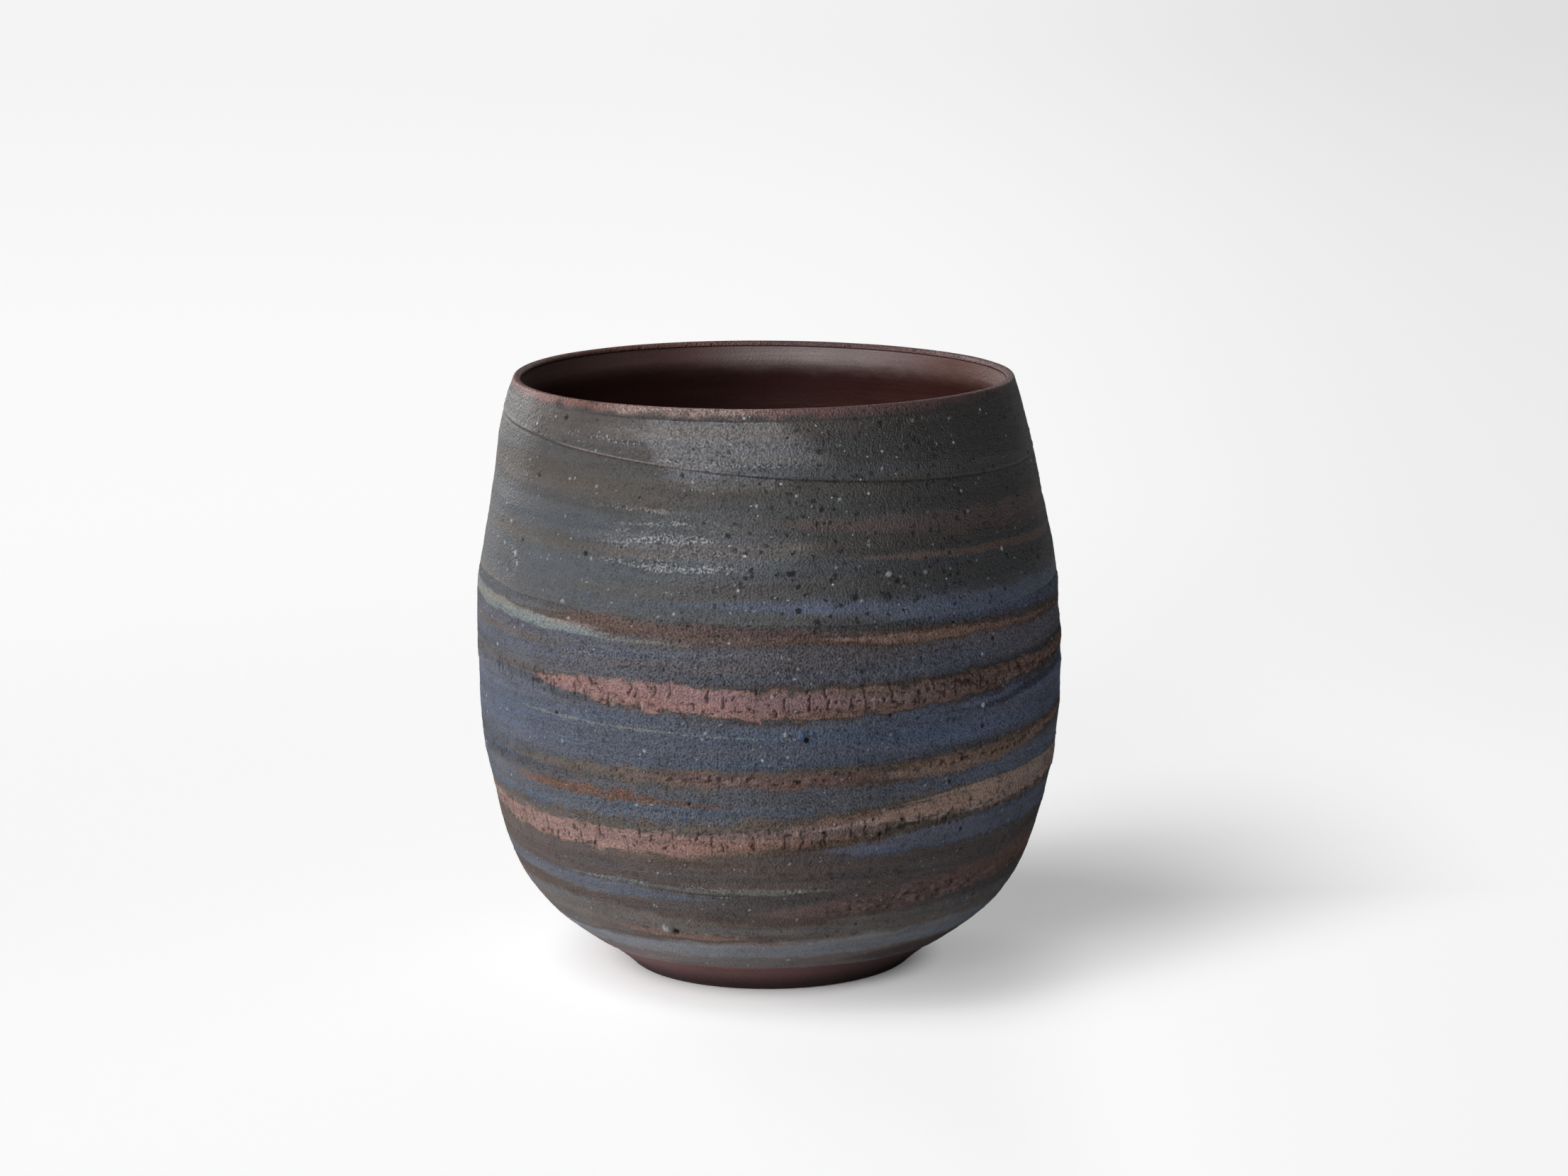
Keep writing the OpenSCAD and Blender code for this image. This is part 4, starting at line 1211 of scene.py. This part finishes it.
clayBump = {"strength": 0.9, "distance": 0.15}


def clayMaterial(name, gloss):
    material = bpy.data.materials.new(name)
    material.use_nodes = True
    tree = material.node_tree
    shader = tree.nodes["Principled BSDF"]
    shader.inputs["Specular IOR Level"].default_value = gloss
    bump = tree.nodes.new("ShaderNodeBump")
    bump.inputs["Strength"].default_value = clayBump["strength"]
    bump.inputs["Distance"].default_value = clayBump["distance"] * millimetre
    tree.links.new(bump.outputs["Normal"], shader.inputs["Normal"])
    return material, tree, shader, bump


# painted highlight on the groove's lit edge and painted shade in the groove
grooveLightAndShade = {"edge": "#a5928a", "line": "#1b1716"}


def grooveLineGroup():
    # painted light on the fine groove under the rim: painted shade in it, darker to the right, and a painted
    # highlight along one edge on the left
    group, start, end = newGroup("paintedGroove", [
        ("Color", "Color", None), ("Turn", "Float", 0.5), ("Away", "Float", 1.0), ("Edge", "Float", 0.0)],
        [("Color", "Color")])
    toRight = ease(group, start["Turn"], 0.43, 0.5)
    edge = maths(group, "ABSOLUTE", maths(group, "SUBTRACT", start["Away"], 0.17))
    edge = times(group, ease(group, edge, 0.13, 0.03), ease(group, start["Turn"], 0.35, 0.375))
    edge = times(group, edge, timesPlus(group, toRight, -0.85, 0.85))
    edge = times(group, edge, start["Edge"])
    color = blend(group, edge, start["Color"], tint(grooveLightAndShade["edge"]))
    depth = timesPlus(group, toRight, 0.5, 0.3)
    line = times(group, ease(group, start["Away"], 0.16, 0.04), depth)
    group.links.new(blend(group, line, color, tint(grooveLightAndShade["line"])), end["Color"])
    return group


def clayTurnGroup():
    # painted light and shade: a clay turns to a lighter or darker colour towards the right of the front
    group, start, end = newGroup("rightSideShading", [
        ("Turn", "Float", 0.5), ("Clay", "Color", None), ("Right Shading", "Color", None),
        ("From", "Float", 0.53)], [("Color", "Color")])
    full = maths(group, "ADD", start["From"], 0.1)
    right = ease(group, start["Turn"], start["From"], full)
    right = times(group, right, ease(group, start["Turn"], 0.97, 0.8))
    group.links.new(blend(group, right, start["Clay"], start["Right Shading"]), end["Color"])
    return group


# the clay's colour, with painted light on the right of the blue clays and painted shade on the right of the
# upper grey ones
def clayColor(tree, turn, piece):
    if "clayRightShading" not in piece:
        return tint(piece["clay"])
    values = {
        "Turn": turn, "Clay": tint(piece["clay"]),
        "Right Shading": tint(piece["clayRightShading"]), "From": piece["rightFrom"],
    }
    return useGroup(tree, rightSideShading, values)["Color"]


def seamColor(tree, spot, edge, lower, upper, rise):
    values = {
        "Below": lower, "Above": upper, "Rise": rise,
        "Ragged": spot["Ragged"], "Softness": edge["soft"], "Raggedness": edge["ragged"],
    }
    return useGroup(tree, claySeam, values)["Color"]


seamReach = 4.0               # how far a slanted seam strays from its middle height
streakSpan = {"height": 70.0, "half": 16.0}      # largest height and half width of a streak


def streakColor(tree, spot, streak, color):
    middle = [(angle, height) for angle, height, half in streak["run"]]
    halves = [(angle, half) for angle, height, half in streak["run"]]
    values = {
        "Color": color, "Streak Color": tint(streakTints[streak["tint"]]), "Height": spot["Height"],
        "Middle": runCurve(tree, spot["Turn"], middle, streakSpan["height"]),
        "Half Width": runCurve(tree, spot["Turn"], halves, streakSpan["half"]),
        "Softness": streak["soft"], "Ragged": spot["Ragged"], "Wander": spot["Wander"],
        "Raggedness": streak["ragged"], "Strength": streak["strength"],
    }
    if "onGrains" in streak:
        values["Grains"] = spot["Grains"]
        values["On Grains"] = streak["onGrains"]
    return useGroup(tree, clayAndLightStreak, values)["Color"]


def bandMaterial(number, piece):
    material, tree, shader, bump = clayMaterial(piece["node"] + "_finish", piece["gloss"])
    spot = useGroup(tree, cupPlace, {})
    below = bands[number - 1] if number else clayBody
    above = bands[number + 1] if number + 1 < len(bands) else piece
    lower, own, upper = [clayColor(tree, spot["Turn"], clay) for clay in (below, piece, above)]
    fromLow = field(tree, "overLow")
    toHigh = field(tree, "underHigh")
    color = seamColor(tree, spot, below, lower, own, fromLow)
    color = seamColor(tree, spot, piece, color, upper, times(tree, toHigh, -1.0))
    lowest = bandSeams[number] - seamReach
    highest = bandSeams[number + 1] + seamReach
    for streak in marblingAndPaintedLight:
        heights = [height for angle, height, half in streak["run"]]
        widest = max(half for angle, height, half in streak["run"])
        if max(heights) + widest >= lowest and min(heights) - widest <= highest:
            color = streakColor(tree, spot, streak, color)
    # painted highlight along the groove's lit edge and painted shade in the groove
    if piece is rimGreyBand:
        values = {"Color": color, "Turn": spot["Turn"], "Away": fromLow, "Edge": 1.0}
        color = useGroup(tree, paintedGroove, values)["Color"]
    # painted shade in the groove, on the clay below it
    if piece is shoulderUmberBand:
        values = {"Color": color, "Turn": spot["Turn"], "Away": toHigh}
        color = useGroup(tree, paintedGroove, values)["Color"]
    values = {
        "Color": color, "Point": spot["Point"], "Mottle": 0.7 + 0.4 * piece["grit"],
        "Crack": field(tree, "crack"), "Crumb": field(tree, "crumb"), "Drag": field(tree, "drag"),
        "Pit": field(tree, "pit"), "Grain": field(tree, "grain"), "Blue Grain": field(tree, "blueGrain"),
        "Hollow": field(tree, "hollow"), "Roughness": piece["rough"],
        "Sand": times(tree, spot["Sandy"], piece["sand"]),
        "Pitting": times(tree, spot["Pitted"], piece["pitting"]),
    }
    fired = useGroup(tree, firedClay, values)
    tree.links.new(fired["Color"], shader.inputs["Base Color"])
    tree.links.new(fired["Roughness"], shader.inputs["Roughness"])
    tree.links.new(fired["Height"], bump.inputs["Height"])
    return material


def bodyMaterial():
    # bare red clay: painted shade low on the foot and deeper inside, brushed inside, grey slip near the lip
    # made paler with painted light on the back right, painted sheen on the worn edge
    material, tree, shader, bump = clayMaterial("red_clay_finish", clayBody["gloss"])
    spot = useGroup(tree, cupPlace, {})
    inside = field(tree, "inside")
    lip = field(tree, "lip")
    clay = {name: tint(code) for name, code in clayBody.items() if str(code).startswith("#")}

    def along(span):
        return ease(tree, spot["Turn"], *clayBody[span])

    near = timesPlus(tree, spot["Ragged"], 0.35, spot["Height"])
    near = ease(tree, near, *clayBody["nearLip"])
    rise = ease(tree, spot["Height"], *clayBody["footFade"])
    # painted shade: the foot darkens towards the floor and on its right
    color = blend(tree, rise, clay["footShadedClay"], clay["clay"])
    color = blend(tree, times(tree, along("footShade"), 0.5), color, clay["footRightShade"])
    # painted shade deeper inside; near the lip grey slip, paler with painted light on the back right
    color = blend(tree, inside, color, clay["insideShadedClay"])
    backRight = maths(tree, "MAXIMUM", along("litGreyFrom"), along("litGreyTo"))
    shade = blend(tree, backRight, clay["insideRed"], clay["insideGreyLit"])
    color = blend(tree, times(tree, inside, near), color, shade)
    lipColor = blend(tree, along("lipChange"), clay["lipLeft"], clay["lipRight"])
    # painted sheen on the worn edge of the lip, strongest on its grains
    lipSheenMask = times(tree, along("lipSheenFrom"), along("lipSheenTo"))
    lipSheenMask = times(tree, lipSheenMask, timesPlus(tree, spot["Grains"], 0.45, 0.3))
    lipColor = blend(tree, lipSheenMask, lipColor, clay["lipSheen"])
    color = blend(tree, lip, color, lipColor)
    # the grey skin runs out raggedly on the outside of the lip
    ragged = timesPlus(tree, spot["Ragged"], -0.5, field(tree, "overSkin"))
    skin = times(tree, lip, ease(tree, ragged, *clayBody["skinEnd"]))
    color = blend(tree, skin, color, tint(rimGreyBand["clay"]))
    smoother = clayBody["lipRough"] - clayBody["rough"]
    values = {
        "Color": color, "Point": spot["Point"], "Mottle": 0.7, "Lines": 0.9, "Layers": 0.2,
        "Sand": lip, "Pitting": times(tree, lip, 0.6),
        "Roughness": timesPlus(tree, lip, smoother, clayBody["rough"]),
    }
    fired = useGroup(tree, firedClay, values)
    tree.links.new(fired["Color"], shader.inputs["Base Color"])
    tree.links.new(fired["Roughness"], shader.inputs["Roughness"])
    calm = timesPlus(tree, inside, -0.65, 1.0)       # the inside was smoothed by the fingers
    tree.links.new(times(tree, fired["Height"], calm), bump.inputs["Height"])
    return material


cupPlace = cupPlaceGroup()
clayAndLightStreak = clayStreakGroup()
claySeam = claySeamGroup()
firedClay = firedClayGroup()
paintedGroove = grooveLineGroup()
rightSideShading = clayTurnGroup()
print("clay groups made:", len(bpy.data.node_groups))

for number, band in enumerate(bands):
    makeBand(number, band, bandMaterial(number, band))
    print("band made:", band["node"])
makeBody(bodyMaterial())
print("red clay made")


# floor, lamps and camera

studio = {
    "lamps": [                # name, degrees from the front, degrees up, metres away, size, watts
        ("keySoftbox", -60.0, 38.0, 0.9, 0.4, 2.0),
        ("lowSoftbox", -60.0, 11.0, 0.9, 0.4, 2.5),
        ("highSoftbox", -68.0, 62.0, 0.9, 0.4, 1.8),
        ("leftSoftbox", -80.0, 20.0, 0.9, 0.4, 0.7),
        ("backLeftCard", -145.0, 12.0, 0.9, 0.4, 1.6),
        ("rightCard", 78.0, 13.0, 0.9, 0.4, 0.12),
        ("backCard", 165.0, 16.0, 0.9, 0.4, 0.25),
        ("frontCard", -18.0, 24.0, 0.9, 0.45, 1.1),
    ],
    "sheen": ("sheenCard", -24.0, 27.0, 0.9, 0.4, 2.0),     # only shows as a reflection
    "aim": (0.0, 0.0, 0.04),
    "mirrored": 0.08,         # how bright the room shows in a mirror or in glass
}

# the pale sweep the cup stands on: tones, and in metres where they set in and are full
paper = {
    "side": 8.0,
    "bounce": 0.7,            # how much light it throws back at the cup
    "white": 0.965,
    "farFall": 0.06,          # painted fall of the light: darker by this far behind
    "far": (0.05, 1.7),
    "rightFall": 0.05,        # and by this more at the far right
    "right": (-0.46, 0.46),
    "frontRise": 0.03,        # painted light: brighter at the left front
    "front": (0.06, -0.1),
    "frontLeft": (0.1, -0.06),
    "fanFrom": 0.5,           # what lies to the right spreads out from this far in front
    "sideFall": 0.055,        # painted shade: darker to the right of the cup
    "sideFan": (0.02, 0.19),
    "behindFall": 0.06,       # painted shade, more so behind it
    "behind": (0.02, 0.25),
    "behindFan": (-0.03, 0.2),
    "grain": 0.01,
    "grainSize": 0.002,
    "mostLight": 4.0,
    "nearGlow": 0.35,         # painted light: share of plain white glowing in the cup's shadow, as a bright sweep has
    "touch": (0.014, 0.021),  # none of it where the foot touches
    "sweep": (0.12, 0.34),    # the shadow gives way to the plain glowing sweep, painted light, between these distances
    "shadow": (0.044, 0.1),   # and to the right between these
    "shadowLine": 0.025,
    "shadowSide": (0.02, 0.04),
}


def lampPlace(turn, up, away):
    turn = math.radians(turn)
    up = math.radians(up)
    out = Vector((math.sin(turn) * math.cos(up), -math.cos(turn) * math.cos(up), math.sin(up)))
    return Vector(studio["aim"]) + away * out


def makeLamp(name, turn, up, away, size, power):
    aim = Vector(studio["aim"])
    place = lampPlace(turn, up, away)
    data = bpy.data.lights.new(name, "AREA")
    data.shape = "DISK"
    data.size = size
    data.energy = power
    lamp = bpy.data.objects.new(name, data)
    lamp.location = place
    lamp.rotation_euler = (aim - place).to_track_quat("-Z", "Y").to_euler()
    lamp.visible_camera = False
    lamp.visible_glossy = not name.endswith("Softbox")      # the cards give the sheen
    bpy.context.scene.collection.objects.link(lamp)
    return lamp


def lightOnFloor(tree, where):
    # what the lamps throw on the bare floor, so that the paper can look evenly lit around the shadow
    total = 0.0
    for name, turn, up, away, size, power in studio["lamps"]:
        place = lampPlace(turn, up, away)
        facing = (place - Vector(studio["aim"])).normalized()
        reach = vectorMaths(tree, "SUBTRACT", place, where)
        square = vectorMaths(tree, "DOT_PRODUCT", reach, reach)
        ahead = maths(tree, "MAXIMUM", vectorMaths(tree, "DOT_PRODUCT", reach, facing), 0.0)
        share = maths(tree, "DIVIDE", ahead, times(tree, square, square))
        total = timesPlus(tree, share, power * place.z / math.pi ** 2, total)
    return total


def mixedShaders(tree, factor, first, second):
    node = tree.nodes.new("ShaderNodeMixShader")
    for source, target in zip((factor, first, second), node.inputs):
        tree.links.new(source, target)
    return node.outputs[0]


def paperMaterial():
    material = bpy.data.materials.new("paper_sweep")
    material.use_nodes = True
    tree = material.node_tree
    tree.nodes.remove(tree.nodes["Principled BSDF"])
    where = tree.nodes.new("ShaderNodeTexCoord").outputs["Object"]
    axes = tree.nodes.new("ShaderNodeSeparateXYZ")
    tree.links.new(where, axes.inputs[0])
    x, y = axes.outputs[:2]
    right = maths(tree, "POWER", ease(tree, x, *paper["right"]), 2.0)
    fall = timesPlus(tree, right, -paper["rightFall"], -paper["farFall"])
    tone = timesPlus(tree, ease(tree, y, *paper["far"]), fall, paper["white"])
    front = times(tree, ease(tree, y, *paper["front"]), ease(tree, x, *paper["frontLeft"]))
    tone = timesPlus(tree, front, paper["frontRise"], tone)
    ahead = maths(tree, "MAXIMUM", maths(tree, "ADD", y, paper["fanFrom"]), 0.1)
    fan = maths(tree, "DIVIDE", x, ahead)
    tone = timesPlus(tree, ease(tree, fan, *paper["sideFan"]), -paper["sideFall"], tone)
    behind = times(tree, ease(tree, y, *paper["behind"]), ease(tree, fan, *paper["behindFan"]))
    tone = timesPlus(tree, behind, -paper["behindFall"], tone)
    grain = noiseAt(tree, where, paper["grainSize"], 2.0)
    grain = timesPlus(tree, grain, paper["grain"], -0.5 * paper["grain"])
    tone = maths(tree, "ADD", tone, grain)
    glow = tree.nodes.new("ShaderNodeEmission")
    tree.links.new(tone, glow.inputs["Color"])
    shown = tree.nodes.new("ShaderNodeBsdfDiffuse")
    even = maths(tree, "DIVIDE", tone, lightOnFloor(tree, where))
    tree.links.new(maths(tree, "MINIMUM", even, paper["mostLight"]), shown.inputs["Color"])
    plain = tree.nodes.new("ShaderNodeBsdfDiffuse")
    plain.inputs["Color"].default_value = (paper["bounce"],) * 3 + (1.0,)
    # the shadow is kept near the cup and fades out to the right of it, under the painted light of the
    # glowing sweep
    away = vectorMaths(tree, "LENGTH", where)
    aside = maths(tree, "MAXIMUM", maths(tree, "SUBTRACT", paper["shadowLine"], y), 0.0)
    aside = ease(tree, maths(tree, "ADD", aside, x), *paper["shadow"])
    aside = times(tree, aside, ease(tree, x, *paper["shadowSide"]))
    far = maths(tree, "MAXIMUM", ease(tree, away, *paper["sweep"]), aside)
    least = times(tree, ease(tree, away, *paper["touch"]), paper["nearGlow"])
    far = timesPlus(tree, far, maths(tree, "SUBTRACT", 1.0, least), least)
    sweep = mixedShaders(tree, far, shown.outputs[0], glow.outputs[0])
    seen = tree.nodes.new("ShaderNodeLightPath").outputs["Is Camera Ray"]
    either = mixedShaders(tree, seen, plain.outputs[0], sweep)
    tree.links.new(either, tree.nodes["Material Output"].inputs["Surface"])
    return material


def makeFloor():
    side = paper["side"]
    mesh = bpy.data.meshes.new("paper_sweep")
    corners = [(-side, -side, 0), (side, -side, 0), (side, side, 0), (-side, side, 0)]
    mesh.from_pydata(corners, [], [(0, 1, 2, 3)])
    floor = bpy.data.objects.new("paper_sweep", mesh)
    bpy.context.scene.collection.objects.link(floor)
    mesh.materials.append(paperMaterial())


def makeWorld():
    world = bpy.data.worlds.new("soft_room")
    bpy.context.scene.world = world
    world.use_nodes = True
    tree = world.node_tree
    path = tree.nodes.new("ShaderNodeLightPath").outputs
    mirror = maths(tree, "MAXIMUM", path["Is Glossy Ray"], path["Is Transmission Ray"])
    strength = times(tree, mirror, studio["mirrored"])
    horizon = paper["white"] - paper["farFall"]
    strength = timesPlus(tree, path["Is Camera Ray"], horizon, strength)
    tree.nodes["Background"].inputs["Color"].default_value = (1.0, 1.0, 1.0, 1.0)
    tree.links.new(strength, tree.nodes["Background"].inputs["Strength"])


for lampValues in studio["lamps"]:
    makeLamp(*lampValues)
makeLamp(*studio["sheen"]).visible_diffuse = False
makeFloor()
makeWorld()
print("studio made:", len(studio["lamps"]), "lamps")

photoView = {
    "place": (0.0, -0.5, 0.1394),
    "target": (0.00192, 0.0, 0.04384),
    "roll": -0.0102,
    "lens": 100.1,
}
cameraData = bpy.data.cameras.new("photoCamera")
cameraData.sensor_fit = "HORIZONTAL"
cameraData.sensor_width = 36.0
cameraData.lens = photoView["lens"]
cameraData.clip_start = 0.01
camera = bpy.data.objects.new("photoCamera", cameraData)
place = Vector(photoView["place"])
view = (Vector(photoView["target"]) - place).to_track_quat("-Z", "Y").to_matrix().to_4x4()
roll = Matrix.Rotation(photoView["roll"], 4, "Z")
camera.matrix_world = Matrix.Translation(place) @ view @ roll
bpy.context.scene.collection.objects.link(camera)
bpy.context.scene.camera = camera
bpy.context.scene.view_settings.view_transform = "Standard"
